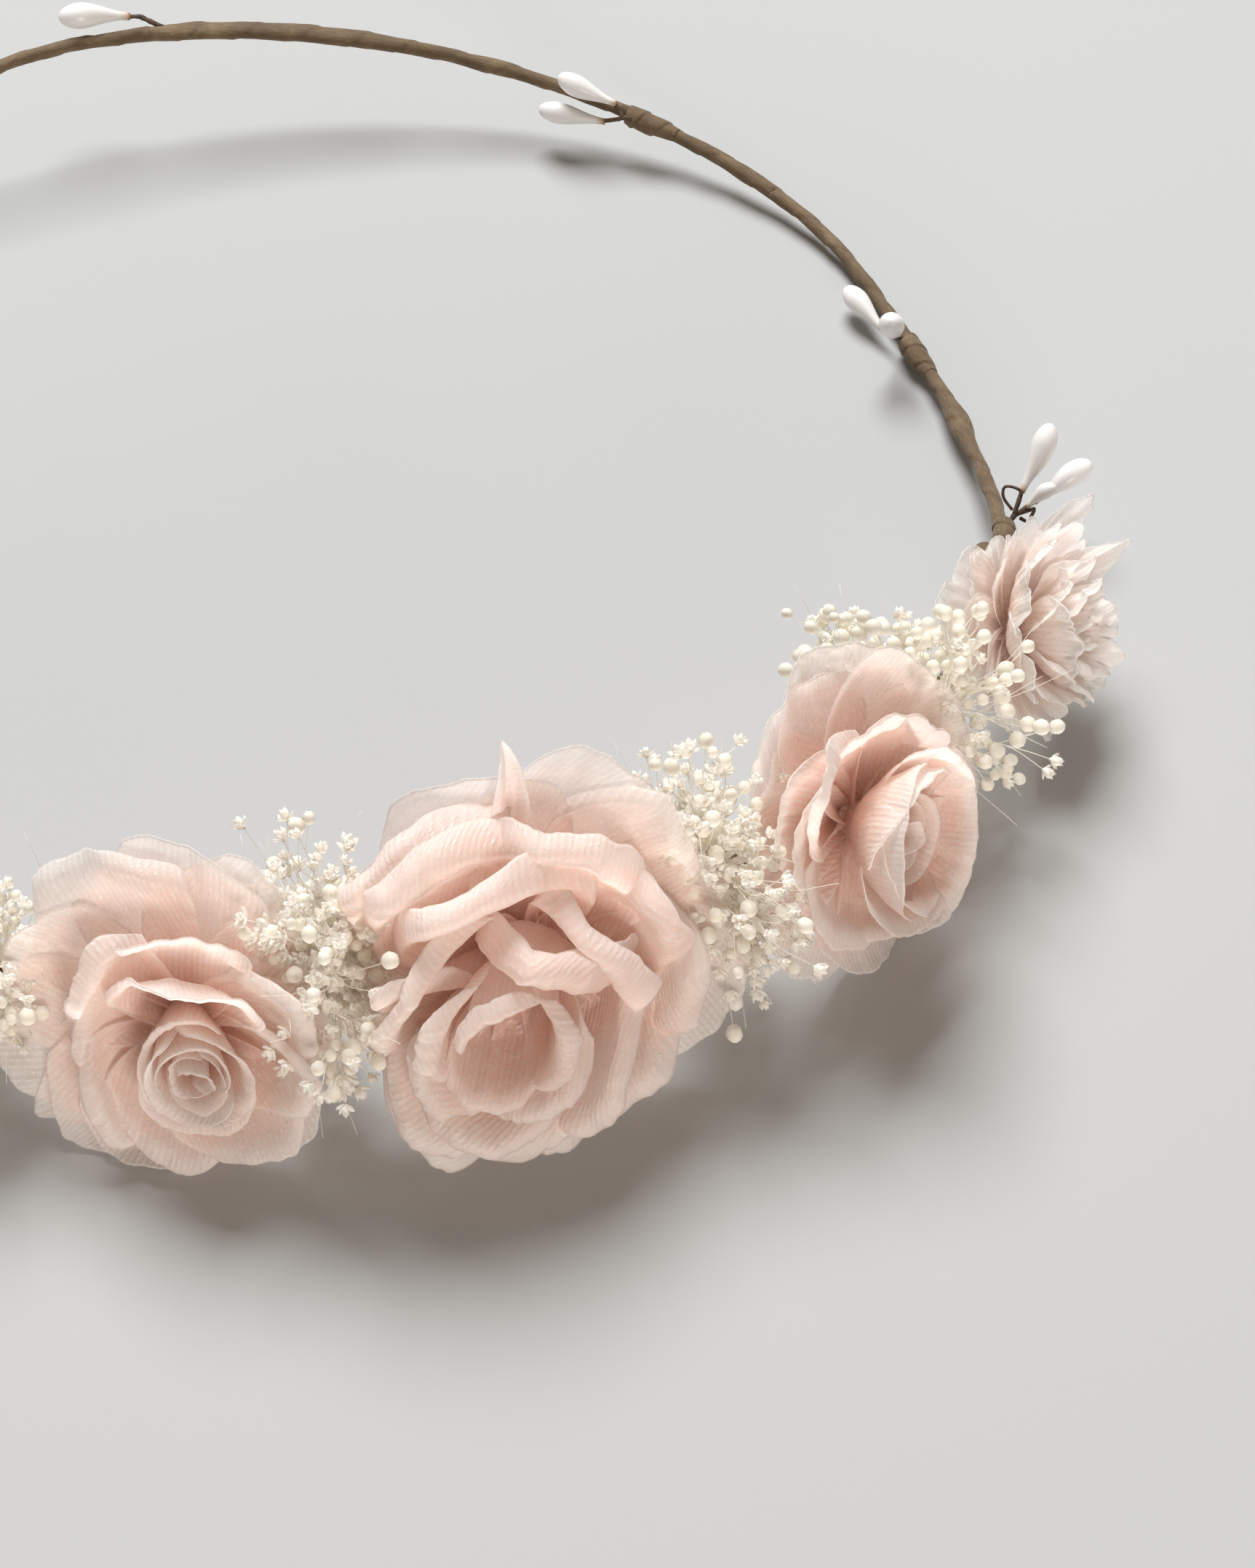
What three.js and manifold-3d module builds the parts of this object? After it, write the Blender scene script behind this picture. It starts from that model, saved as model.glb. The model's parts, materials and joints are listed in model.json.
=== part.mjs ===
// Flower crown: a wire hoop wrapped in paper tape, with fabric roses and dried gypsophila across
// the front and sprigs of pip buds around the back. Millimetres, +Z up, front of the crown at -Y.
import * as THREE from 'three';
import * as BufferGeometryUtils from 'three/addons/utils/BufferGeometryUtils.js';
import Module from 'manifold-3d';

const wasm = await Module();
wasm.setup();

// ---------------------------------------------------------------- driving dimensions

const GAP = 0.3; // clearance left between pieces that touch on the real crown

// Hoop. Angles are degrees round the crown from the front (-Y), counterclockwise seen from above.
const WIRE_RADIUS = 0.4;
const WIRE_SIDES = 6;
const TAPE_INNER = 0.64; // inside radius of the tape sleeve round the wire
const TAPE_OUTER = 0.95; // outside radius on the bare stretches
const TAPE_FRONT_OUTER = 1.7; // outside radius where the flower stems are bound in
const TAPE_SIDES = 8;
const STEP_DEGREES = 4.5; // spacing of the cross-sections along the hoop
const FLOWER_STRETCH = 62; // the thick tape runs this far either side of the front
const TAPER_DEGREES = 5;

// The wire's two ends lie side by side under one wide sleeve at the back.
const SPLICE = { from: 155, to: 178, shift: 0.55, blend: 5, innerWidth: 1.2, outerWidth: 1.55, outerHeight: 1.05 };

// Swellings of the tape: [angle, extra radius, half-width in degrees].
const SWELLS = [[83, 0.55, 3.5], [122, 0.15, 5], [148, 0.2, 4], [207, 0.2, 5], [240, 0.15, 4], [277, 0.5, 3.5]];

// Flowers: rim is the radius of the outermost petals, turn swings the face away from straight outward.
const FLOWER_TILT = 20; // degrees that each flower faces above the horizontal
const FLOWER_STANDOFF = 2.6; // from the hoop's centreline to the back of a flower
const FLOWERS = [
  { name: 'rose_front', at: 0, turn: -6, rim: 22, kind: 'large_rose', color: '#efd0c6' },
  { name: 'rose_left', at: -25, turn: -4, rim: 16.5, kind: 'rose', color: '#efd2c8' },
  { name: 'rose_right', at: 27, turn: 6, rim: 18, kind: 'rose', color: '#efd2c8' },
  { name: 'blossom_left', at: -52, turn: 0, rim: 15, kind: 'blossom', color: '#f2d9cf' },
  { name: 'blossom_right', at: 52, turn: 0, rim: 15, kind: 'blossom', color: '#f2d9cf' },
];
const FLOWER_STEM_RADIUS = 0.6;
const FLOWER_HOLE_RADIUS = 1;
const LATHE_SEGMENTS = 18;

// Profiles of the flower layers, as [radius, height] in rim radii; null stands for the stem hole.
const LAYERS = {
  outer: [[null, 0], [0.45, 0.02], [0.92, 0.15], [1, 0.27], [0.96, 0.36], [0.6, 0.3], [null, 0.27]],
  middle: [[null, 0.31], [0.42, 0.33], [0.74, 0.4], [0.86, 0.52], [0.8, 0.6], [0.45, 0.54], [null, 0.5]],
  inner: [[null, 0.54], [0.36, 0.57], [0.58, 0.64], [0.68, 0.78], [0.61, 0.86], [0.3, 0.78], [null, 0.76]],
  small_heart: [[0, 0.8], [0.26, 0.82], [0.4, 0.92], [0.44, 1.02], [0.36, 1.1], [0.16, 1.12], [0, 1.1]],
  heart: [[0, 0.54], [0.32, 0.58], [0.5, 0.68], [0.55, 0.86], [0.42, 1], [0.14, 1.05], [0, 1.02]],
  dome: [[0, 0.31], [0.4, 0.34], [0.74, 0.5], [0.7, 0.76], [0.4, 0.94], [0, 1]],
};
const FLOWER_LAYERS = {
  large_rose: [['petals_outer', 'outer'], ['petals_middle', 'middle'], ['petals_inner', 'inner'],
    ['heart', 'small_heart']],
  rose: [['petals_outer', 'outer'], ['petals_inner', 'middle'], ['heart', 'heart']],
  blossom: [['petals_outer', 'outer'], ['petals_inner', 'dome']],
};
const RIM_HEIGHT = 0.27; // height of the widest ring of the outer layer, in rim radii

// Gypsophila sprays: half-sizes along the hoop, outward and up, about a centre beside the hoop.
const SPRAYS = [
  { name: 'gypsophila_left', at: -40, size: [7.5, 12, 10], out: 3, height: 14 },
  { name: 'gypsophila_front_left', at: -15.5, size: [7.5, 13.5, 12.5], out: 4, height: 18 },
  { name: 'gypsophila_front_right', at: 15, size: [8, 13.5, 12.5], out: 3, height: 18 },
  { name: 'gypsophila_right', at: 41, size: [8.5, 13.5, 11.5], out: 3, height: 15 },
];
const SPRAY_LUMPS = 0.09; // how far the surface of a spray swells and dips, as a share of its size
const SPRAY_TUNNEL = TAPE_FRONT_OUTER + GAP + 0.1;

// Sprigs. run is +1 or -1, the way along the hoop that the sprig points. Every [along, out, up] is
// measured from the hoop's centreline in the directions of the sprig, the outside and the top;
// bound is the length of the tape binding behind the sprig.
const BUD_RADIUS = 1.55;
const BUD_LENGTH = 9.4;
const STEM_RADIUS = 0.3;
const BINDING_OUTER = 1.75;
const BINDING_SHIFT = 0.35; // the binding bulges this far towards the sprig
const END_SPRIG_BUDS = [
  { start: [2.8, 2.6, 3.5], toward: [0.55, 0.4, 0.68], length: 9.4 },
  { start: [2.2, 4.2, 2.4], toward: [0.35, 0.8, 0.42], length: 8.8 },
];
const SHORT_STEM_FOOT = [0.5, 2.6, 1.7];
const SHORT_BUD = { start: [0.2, 3.1, 3], toward: [0.05, 0.72, 0.65], length: 4.6, radius: 1 };
const SIDE_SPRIG_BUDS = [
  { start: [2.6, -2.5, 0.7], toward: [1, -0.16, 0.1] },
  { start: [-0.8, -2, 2.7], toward: [-0.5, -0.4, 0.76], length: 8.6, radius: 1.7 },
];
const BACK_SPRIG_BUDS = [
  { start: [1.8, -1.5, 2.1], toward: [1, -0.1, 0.14], length: 9 },
  { start: [2.6, -2.7, -0.7], toward: [1, -0.18, -0.12], length: 9.6 },
];
const SPRIGS = [
  { name: 'sprig_1', at: 68, run: 1, root: [0.5, 1.7, 1.6], bound: 4.5, buds: END_SPRIG_BUDS, single: SHORT_BUD },
  { name: 'sprig_2', at: 95.5, run: 1, root: [0.4, -1.7, 1.5], bound: 7, buds: SIDE_SPRIG_BUDS },
  { name: 'sprig_3', at: 133.5, run: 1, root: [0.4, -2.3, 0.9], bound: 7, buds: BACK_SPRIG_BUDS },
  { name: 'sprig_4', at: 178.5, run: 1, root: [0.2, 1.9, 1.75], bound: 0, buds: [],
    single: { start: [1.6, 2, 1.85], toward: [1, 0.06, 0.07], length: 9.8, radius: 1.85 } },
  { name: 'sprig_5', at: 226.5, run: -1, root: [0.4, -2.3, 0.9], bound: 7, buds: BACK_SPRIG_BUDS },
  { name: 'sprig_6', at: 264.5, run: -1, root: [0.4, -1.7, 1.5], bound: 7, buds: SIDE_SPRIG_BUDS },
  { name: 'sprig_7', at: 292, run: -1, root: [0.5, 1.7, 1.6], bound: 4.5, buds: END_SPRIG_BUDS },
];

// Rounded tape-covered ends of the flower bundle, inside the hoop.
const KNOBS = [{ name: 'tape_knob_right', at: 63.4 }, { name: 'tape_knob_left', at: -63.4 }];
const KNOB = { radius: 1.6, length: 5.6, out: -3, up: -0.2 };

const TABLE_CLEARANCE = 0.15; // the flowers' lowest petals stop just above the plane the crown rests on

// Height of the hoop's centreline where a flower of this rim radius rests its petals on the table.
function seatHeight(rim) {
  const tilt = THREE.MathUtils.degToRad(FLOWER_TILT);
  const rise = (FLOWER_STANDOFF + RIM_HEIGHT * rim) * Math.sin(tilt);
  return rim * Math.cos(tilt) - rise + TABLE_CLEARANCE;
}

// Hoop stations: [angle, radius, height of the centreline].
const HOOP = [
  [0, 82.6, seatHeight(22)], [28, 84.4, seatHeight(18)], [52, 86.2, seatHeight(15)],
  [67, 86.2, 6.6], [82, 84.5, 3.4], [98, 85, 1.9], [114, 88, 2.6], [135, 88, 6.6], [158, 86.7, 12.6],
  [178, 87.4, 16.2], [192, 88.6, 16.6], [206, 88.6, 12.6], [225, 88, 6.6], [246, 87.6, 2.6], [262, 85, 1.9], [278, 84.5, 3.4],
  [293, 86.2, 6.6], [308, 86.2, seatHeight(15)], [335, 84.4, seatHeight(16.5)],
];

// ---------------------------------------------------------------- materials

const COLORS = { wire: '#4b4640', tape: '#86704f', stem: '#4a3527', bud: '#f3f0ed', spray: '#efe9da' };

function matte(color, roughness) {
  return new THREE.MeshStandardMaterial({ color, roughness, metalness: 0 });
}

const MATERIALS = {
  wire: () => new THREE.MeshStandardMaterial({ color: COLORS.wire, roughness: 0.45, metalness: 0.9 }),
  tape: () => matte(COLORS.tape, 0.85),
  stem: () => matte(COLORS.stem, 0.6),
  bud: () => matte(COLORS.bud, 0.35),
  spray: () => matte(COLORS.spray, 0.8),
};

// ---------------------------------------------------------------- the hoop's centreline

// Value of a station column at an angle, by a smooth closed curve through the stations.
function stationValue(angle, column) {
  const count = HOOP.length;
  const turn = ((angle % 360) + 360) % 360;
  let index = count - 1;
  for (let i = 0; i < count - 1; i++) {
    if (turn >= HOOP[i][0] && turn < HOOP[i + 1][0]) index = i;
  }
  const station = (i) => {
    const wraps = Math.floor(i / count);
    const row = HOOP[i - wraps * count];
    return [row[0] + 360 * wraps, row[column]];
  };
  const [before, start, end, after] = [-1, 0, 1, 2].map((i) => station(index + i));
  const span = end[0] - start[0];
  const t = (turn - start[0]) / span;
  const slopeStart = (end[1] - before[1]) / (end[0] - before[0]) * span;
  const slopeEnd = (after[1] - start[1]) / (after[0] - start[0]) * span;
  const t2 = t * t;
  const t3 = t2 * t;
  return (2 * t3 - 3 * t2 + 1) * start[1] + (t3 - 2 * t2 + t) * slopeStart
    + (3 * t2 - 2 * t3) * end[1] + (t3 - t2) * slopeEnd;
}

function hoopPoint(angle) {
  const radius = stationValue(angle, 1);
  const turn = THREE.MathUtils.degToRad(angle);
  return new THREE.Vector3(radius * Math.sin(turn), -radius * Math.cos(turn), stationValue(angle, 2));
}

// Local directions on the hoop: along (run +1 is counterclockwise), out and up.
function hoopFrame(angle, run = 1) {
  const along = hoopPoint(angle + 0.5).sub(hoopPoint(angle - 0.5)).multiplyScalar(run).normalize();
  const out = along.clone().cross(new THREE.Vector3(0, 0, run)).normalize();
  const up = out.clone().cross(along).multiplyScalar(run).normalize();
  return { origin: hoopPoint(angle), along, out, up };
}

function place(frame, [along, out, up]) {
  return frame.origin.clone().addScaledVector(frame.along, along)
    .addScaledVector(frame.out, out).addScaledVector(frame.up, up);
}

function direction(frame, [along, out, up]) {
  return new THREE.Vector3().addScaledVector(frame.along, along)
    .addScaledVector(frame.out, out).addScaledVector(frame.up, up).normalize();
}

// ---------------------------------------------------------------- solids from rings of points

function ellipse(center, across, upward, halfWidth, halfHeight, sides) {
  return Array.from({ length: sides }, (_, i) => {
    const a = (2 * Math.PI * (i + 0.5)) / sides;
    return center.clone().addScaledVector(across, halfWidth * Math.cos(a))
      .addScaledVector(upward, halfHeight * Math.sin(a));
  });
}

function fromTriangles(points, triangles) {
  let volume = 0;
  for (const [a, b, c] of triangles) {
    volume += points[a].dot(points[b].clone().cross(points[c]));
  }
  const facing = volume < 0 ? triangles.map(([a, b, c]) => [a, c, b]) : triangles;
  const geometry = new THREE.BufferGeometry().setFromPoints(points);
  geometry.setIndex(facing.flat());
  geometry.computeVertexNormals();
  return geometry;
}

// Triangles of the wall between two rings; start numbers are those of the rings' first points.
function band(startA, startB, sides) {
  const triangles = [];
  for (let i = 0; i < sides; i++) {
    const j = (i + 1) % sides;
    triangles.push([startA + i, startA + j, startB + j], [startA + i, startB + j, startB + i]);
  }
  return triangles;
}

// A solid rod through a row of rings, closed by a flat fan at each end.
function rod(rings) {
  const sides = rings[0].length;
  const triangles = [];
  for (let k = 0; k + 1 < rings.length; k++) triangles.push(...band(k * sides, (k + 1) * sides, sides));
  const last = (rings.length - 1) * sides;
  for (let i = 1; i + 1 < sides; i++) {
    triangles.push([0, i + 1, i], [last, last + i, last + i + 1]);
  }
  return fromTriangles(rings.flat(), triangles);
}

// An open-ended tube: the outer rings and inner rings, joined by an annulus at each end.
function tube(outer, inner) {
  const sides = outer[0].length;
  const count = outer.length;
  const triangles = [];
  for (let k = 0; k + 1 < count; k++) {
    triangles.push(...band(k * sides, (k + 1) * sides, sides));
    triangles.push(...band((count + k + 1) * sides, (count + k) * sides, sides));
  }
  triangles.push(...band(count * sides, 0, sides));
  triangles.push(...band((count - 1) * sides, (2 * count - 1) * sides, sides));
  return fromTriangles([...outer, ...inner].flat(), triangles);
}

// A round wire along a curve.
function wireAlong(curve, radius, steps, sides) {
  const frames = curve.computeFrenetFrames(steps, false);
  const rings = [];
  for (let k = 0; k <= steps; k++) {
    rings.push(ellipse(curve.getPointAt(k / steps), frames.normals[k], frames.binormals[k], radius, radius, sides));
  }
  return rod(rings);
}

function solidMesh(name, geometry, material) {
  const mesh = new THREE.Mesh(geometry, material);
  mesh.name = name;
  return mesh;
}

// ---------------------------------------------------------------- hoop: wire and tape

const smooth = THREE.MathUtils.smoothstep;

function anglesBetween(from, to) {
  const steps = Math.max(2, Math.ceil((to - from) / STEP_DEGREES));
  return Array.from({ length: steps + 1 }, (_, i) => from + ((to - from) * i) / steps);
}

// The wire runs once round and on past its own start; each end moves aside under the splice sleeve.
function coreWire() {
  const { from, to, shift, blend } = SPLICE;
  const rings = anglesBetween(from + 2, to - 2 + 360).map((angle) => {
    const leavesStart = 1 - smooth(angle, to - blend, to);
    const nearsEnd = smooth(angle, from + 360, from + 360 + blend);
    const { origin, out, up } = hoopFrame(angle);
    const center = origin.addScaledVector(out, shift * (leavesStart - nearsEnd));
    return ellipse(center, out, up, WIRE_RADIUS, WIRE_RADIUS, WIRE_SIDES);
  });
  return solidMesh('hoop_core_wire', rod(rings), MATERIALS.wire());
}

function tapeRadius(angle) {
  const fromFront = Math.abs(((angle + 180) % 360 + 360) % 360 - 180);
  const thick = 1 - smooth(fromFront, FLOWER_STRETCH - TAPER_DEGREES, FLOWER_STRETCH);
  const swelling = SWELLS.reduce((sum, [at, extra, half]) => {
    const near = Math.max(0, 1 - ((angle - at) / half) ** 2);
    return sum + extra * near * near;
  }, 0);
  return TAPE_OUTER + (TAPE_FRONT_OUTER - TAPE_OUTER) * thick + swelling;
}

function tapeSleeve(name, from, to) {
  const outer = [];
  const inner = [];
  for (const angle of anglesBetween(from, to)) {
    const { origin, out, up } = hoopFrame(angle);
    const radius = tapeRadius(angle);
    outer.push(ellipse(origin, out, up, radius, radius, TAPE_SIDES));
    inner.push(ellipse(origin, out, up, TAPE_INNER, TAPE_INNER, TAPE_SIDES));
  }
  return solidMesh(name, tube(outer, inner), MATERIALS.tape());
}

function spliceSleeve() {
  const { from, to, blend, innerWidth, outerWidth, outerHeight } = SPLICE;
  const outer = [];
  const inner = [];
  for (const angle of anglesBetween(from, to)) {
    const wide = smooth(angle, from, from + blend / 2) * (1 - smooth(angle, to - blend / 2, to));
    const { origin, out, up } = hoopFrame(angle);
    const width = THREE.MathUtils.lerp(TAPE_OUTER + 0.15, outerWidth, wide);
    const bore = THREE.MathUtils.lerp(TAPE_INNER + 0.1, innerWidth, wide);
    outer.push(ellipse(origin, out, up, width, outerHeight, TAPE_SIDES));
    inner.push(ellipse(origin, out, up, bore, TAPE_INNER, TAPE_SIDES));
  }
  return solidMesh('tape_splice', tube(outer, inner), MATERIALS.tape());
}

const GAP_DEGREES = 0.2; // about the usual gap, measured round the hoop

const SLEEVES = [
  ['tape_front', -FLOWER_STRETCH, FLOWER_STRETCH],
  ['tape_right_side', FLOWER_STRETCH, 118],
  ['tape_right_back', 118, SPLICE.from],
  ['tape_left_back', SPLICE.to, 242],
  ['tape_left_side', 242, 360 - FLOWER_STRETCH],
];

// ---------------------------------------------------------------- flowers

function lathe(profile, rim, hole) {
  const points = profile.map(([radius, height]) => new THREE.Vector2(radius === null ? hole : radius * rim,
    height * rim));
  if (profile[0][0] === null) points.push(points[0].clone());
  const geometry = new THREE.LatheGeometry(points, LATHE_SEGMENTS);
  return geometry;
}

// A flower's own frame: its base sits on the tape, its axis (local +Y) faces outward and up.
function flowerFrame({ at, turn }) {
  const { origin } = hoopFrame(at);
  const facing = THREE.MathUtils.degToRad(at + turn);
  const tilt = THREE.MathUtils.degToRad(FLOWER_TILT);
  const axis = new THREE.Vector3(Math.sin(facing) * Math.cos(tilt), -Math.cos(facing) * Math.cos(tilt),
    Math.sin(tilt));
  const base = origin.addScaledVector(axis, FLOWER_STANDOFF);
  const turnUp = new THREE.Quaternion().setFromUnitVectors(new THREE.Vector3(0, 1, 0), axis);
  return { base, turnUp };
}

function flower(spec) {
  const group = new THREE.Group();
  const { base, turnUp } = flowerFrame(spec);
  group.position.copy(base);
  group.quaternion.copy(turnUp);
  const layers = FLOWER_LAYERS[spec.kind];
  for (const [suffix, profile] of layers) {
    const geometry = lathe(LAYERS[profile], spec.rim, FLOWER_HOLE_RADIUS);
    group.add(solidMesh(`${spec.name}_${suffix}`, geometry, matte(spec.color, 0.6)));
  }
  const topLayer = LAYERS[layers.at(-1)[1]];
  const length = topLayer[0][1] * spec.rim - GAP;
  const stem = new THREE.CylinderGeometry(FLOWER_STEM_RADIUS, FLOWER_STEM_RADIUS, length, 8);
  stem.translate(0, length / 2, 0);
  group.add(solidMesh(`${spec.name}_stem`, stem, MATERIALS.stem()));
  return group;
}

// ---------------------------------------------------------------- gypsophila sprays

function toSolid(geometry) {
  const bare = geometry.index ? geometry.clone() : BufferGeometryUtils.mergeVertices(geometry);
  bare.deleteAttribute('normal');
  bare.deleteAttribute('uv');
  const merged = BufferGeometryUtils.mergeVertices(bare);
  return new wasm.Manifold(new wasm.Mesh({
    numProp: 3,
    vertProperties: new Float32Array(merged.attributes.position.array),
    triVerts: new Uint32Array(merged.index.array),
  }));
}

function fromSolid(solid) {
  const { vertProperties, triVerts } = solid.getMesh();
  const geometry = new THREE.BufferGeometry();
  geometry.setAttribute('position', new THREE.BufferAttribute(new Float32Array(vertProperties), 3));
  geometry.setIndex(Array.from(triVerts));
  geometry.computeVertexNormals();
  return geometry;
}

// The room a flower takes up, with the usual gap all round, as one solid of revolution.
function flowerRoom(spec) {
  const { base, turnUp } = flowerFrame(spec);
  const rim = spec.rim + 2 * GAP;
  const profile = [[0, -0.06], [0.45, -0.03], [0.94, 0.1], [1.02, 0.27], [0.98, 0.4], [0.88, 0.64], [0.7, 0.9],
    [0.48, 1.12], [0.16, 1.18], [0, 1.18]];
  const geometry = lathe(profile, rim, 0);
  geometry.applyQuaternion(turnUp);
  geometry.translate(base.x, base.y, base.z);
  return toSolid(geometry);
}

function tunnel(from, to) {
  const rings = anglesBetween(from, to).map((angle) => {
    const { origin, out, up } = hoopFrame(angle);
    return ellipse(origin, out, up, SPRAY_TUNNEL, SPRAY_TUNNEL, TAPE_SIDES);
  });
  return toSolid(rod(rings));
}

function spray({ name, at, size, out, height }, rooms) {
  const frame = hoopFrame(at);
  const geometry = new THREE.SphereGeometry(1, 14, 10);
  const position = geometry.attributes.position;
  const point = new THREE.Vector3();
  for (let i = 0; i < position.count; i++) {
    point.fromBufferAttribute(position, i);
    const lump = 1 + SPRAY_LUMPS * Math.sin(5 * point.x + at) * Math.cos(4 * point.y) * Math.cos(3 * point.z);
    position.setXYZ(i, point.x * size[0] * lump, point.y * size[1] * lump, point.z * size[2] * lump);
  }
  const center = frame.origin.clone().addScaledVector(frame.out, out).setZ(height);
  const flatAlong = frame.along.clone().setZ(0).normalize();
  const turn = new THREE.Matrix4().makeBasis(flatAlong, frame.out, new THREE.Vector3(0, 0, 1));
  if (turn.determinant() < 0) turn.makeBasis(flatAlong.negate(), frame.out, new THREE.Vector3(0, 0, 1));
  geometry.applyMatrix4(turn.setPosition(center));
  const whole = toSolid(geometry);
  const cut = rooms.reduce((solid, room) => solid.subtract(room), whole).subtract(tunnel(at - 14, at + 14));
  const largest = cut.decompose().sort((a, b) => b.volume() - a.volume())[0];
  return solidMesh(name, fromSolid(largest), MATERIALS.spray());
}

// ---------------------------------------------------------------- bud sprigs

// Outline of a pip bud from its neck to its round tip, as [radius, height] in radii and lengths.
const BUD_PROFILE = [[0, 0], [0.36, 0], [0.52, 0.14], [0.82, 0.42], [1, 0.68], [0.88, 0.86], [0.5, 0.97], [0, 1]];

function bud(name, frame, { start, toward, length = BUD_LENGTH, radius = BUD_RADIUS }) {
  const points = BUD_PROFILE.map(([r, h]) => new THREE.Vector2(r * radius, h * length));
  const mesh = solidMesh(name, new THREE.LatheGeometry(points, 10), MATERIALS.bud());
  mesh.position.copy(place(frame, start));
  mesh.quaternion.setFromUnitVectors(new THREE.Vector3(0, 1, 0), direction(frame, toward));
  return mesh;
}

// Where a bud's wire meets it, a gap short of the neck.
function budNeck(frame, { start, toward }) {
  return place(frame, start).addScaledVector(direction(frame, toward), -GAP);
}

// A wire folded in two at the root, with a bud at each end.
function foldedStem(name, frame, root, buds) {
  const [first, second] = buds.map((each) => budNeck(frame, each));
  const fold = place(frame, root);
  const before = fold.clone().lerp(first, 0.55);
  const after = fold.clone().lerp(second, 0.55);
  const curve = new THREE.CatmullRomCurve3([first, before, fold, after, second], false, 'centripetal');
  return solidMesh(name, wireAlong(curve, STEM_RADIUS, 8, WIRE_SIDES), MATERIALS.stem());
}

function singleStem(name, frame, foot, each) {
  const curve = new THREE.LineCurve3(place(frame, foot), budNeck(frame, each));
  return solidMesh(name, wireAlong(curve, STEM_RADIUS, 1, WIRE_SIDES), MATERIALS.stem());
}

// Tape bound over the hoop just behind a sprig, bulging on the sprig's side.
function binding({ name, at, run, root, bound }) {
  const bulge = new THREE.Vector2(root[1], root[2]).normalize().multiplyScalar(BINDING_SHIFT);
  const degreesPerMm = THREE.MathUtils.radToDeg(1 / stationValue(at, 1));
  const outer = [];
  const inner = [];
  const profile = [[-1, 0.2], [-0.8, 0.65], [-0.45, 1], [-0.15, 0.95], [0, 0.8]];
  for (const [share, fullness] of profile) {
    const angle = at + run * share * bound * degreesPerMm;
    const { origin, out, up } = hoopFrame(angle);
    const bore = tapeRadius(angle) + GAP;
    const radius = THREE.MathUtils.lerp(bore + 0.12, Math.max(BINDING_OUTER, bore + 0.25), fullness);
    const center = origin.clone().addScaledVector(out, bulge.x * fullness).addScaledVector(up, bulge.y * fullness);
    outer.push(ellipse(center, out, up, radius + BINDING_SHIFT * 0.3, radius + BINDING_SHIFT * 0.3, TAPE_SIDES));
    inner.push(ellipse(origin, out, up, bore, bore, TAPE_SIDES));
  }
  return solidMesh(`${name}_binding`, tube(outer, inner), MATERIALS.tape());
}

function sprig(spec) {
  const { name, at, run, root, bound, buds, single } = spec;
  const group = new THREE.Group();
  const frame = hoopFrame(at, run);
  if (bound) group.add(binding(spec));
  if (buds.length === 2) group.add(foldedStem(`${name}_stem`, frame, root, buds));
  buds.forEach((each, i) => group.add(bud(`${name}_bud_${'ab'[i]}`, frame, each)));
  if (single) {
    const paired = buds.length > 0;
    const label = paired ? `${name}_short` : name;
    const foot = paired ? SHORT_STEM_FOOT : root;
    group.add(singleStem(`${label}_stem`, frame, foot, single));
    group.add(bud(`${label}_bud`, frame, single));
  }
  return group;
}

function knob({ name, at }) {
  const frame = hoopFrame(at);
  const half = KNOB.length / 2;
  const points = Array.from({ length: 7 }, (_, i) => {
    const a = (Math.PI * i) / 6;
    return new THREE.Vector2(i % 6 === 0 ? 0 : KNOB.radius * Math.sin(a), -half * Math.cos(a));
  });
  const mesh = solidMesh(name, new THREE.LatheGeometry(points, 10), MATERIALS.tape());
  mesh.position.copy(place(frame, [0, KNOB.out, KNOB.up]));
  mesh.quaternion.setFromUnitVectors(new THREE.Vector3(0, 1, 0), frame.along);
  return mesh;
}

// ---------------------------------------------------------------- assembly

const parts = new THREE.Group();
parts.add(coreWire());
for (const [name, from, to] of SLEEVES) {
  parts.add(tapeSleeve(name, from + GAP_DEGREES / 2, to - GAP_DEGREES / 2));
}
parts.add(spliceSleeve());
for (const spec of FLOWERS) parts.add(flower(spec));
const rooms = FLOWERS.map(flowerRoom);
for (const spec of SPRAYS) parts.add(spray(spec, rooms));
for (const spec of SPRIGS) parts.add(sprig(spec));
for (const spec of KNOBS) parts.add(knob(spec));

// The origin is the middle of the crown's footprint, on the plane it rests on.
const crown = new THREE.Group();
crown.add(parts);
crown.updateMatrixWorld(true);
const box = new THREE.Box3().setFromObject(parts, true);
parts.position.set(-(box.min.x + box.max.x) / 2, -(box.min.y + box.max.y) / 2, -box.min.z);

export default crown;
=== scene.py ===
"""Looks of the flower crown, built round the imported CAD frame.

Lengths are in millimetres and become metres where they are multiplied by MM. Lamp distances are in metres.
"""
import json
import math

import bmesh
import bpy
import numpy as np
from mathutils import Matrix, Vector, noise


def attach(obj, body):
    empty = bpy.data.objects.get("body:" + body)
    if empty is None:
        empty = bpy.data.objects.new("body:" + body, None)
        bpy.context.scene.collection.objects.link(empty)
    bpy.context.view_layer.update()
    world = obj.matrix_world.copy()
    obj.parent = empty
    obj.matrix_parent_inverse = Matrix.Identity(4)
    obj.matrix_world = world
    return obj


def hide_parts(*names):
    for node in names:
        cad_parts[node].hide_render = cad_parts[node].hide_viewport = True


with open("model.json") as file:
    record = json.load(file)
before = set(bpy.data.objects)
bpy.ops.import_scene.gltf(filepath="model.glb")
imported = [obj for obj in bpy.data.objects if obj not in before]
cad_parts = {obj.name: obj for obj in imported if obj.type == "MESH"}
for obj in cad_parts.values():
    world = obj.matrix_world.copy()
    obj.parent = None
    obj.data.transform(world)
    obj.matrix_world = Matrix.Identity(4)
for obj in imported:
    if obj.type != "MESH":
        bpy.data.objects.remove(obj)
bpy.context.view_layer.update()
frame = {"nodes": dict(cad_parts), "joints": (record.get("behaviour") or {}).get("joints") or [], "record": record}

MM = 0.001
NODES = frame["nodes"]
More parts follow.
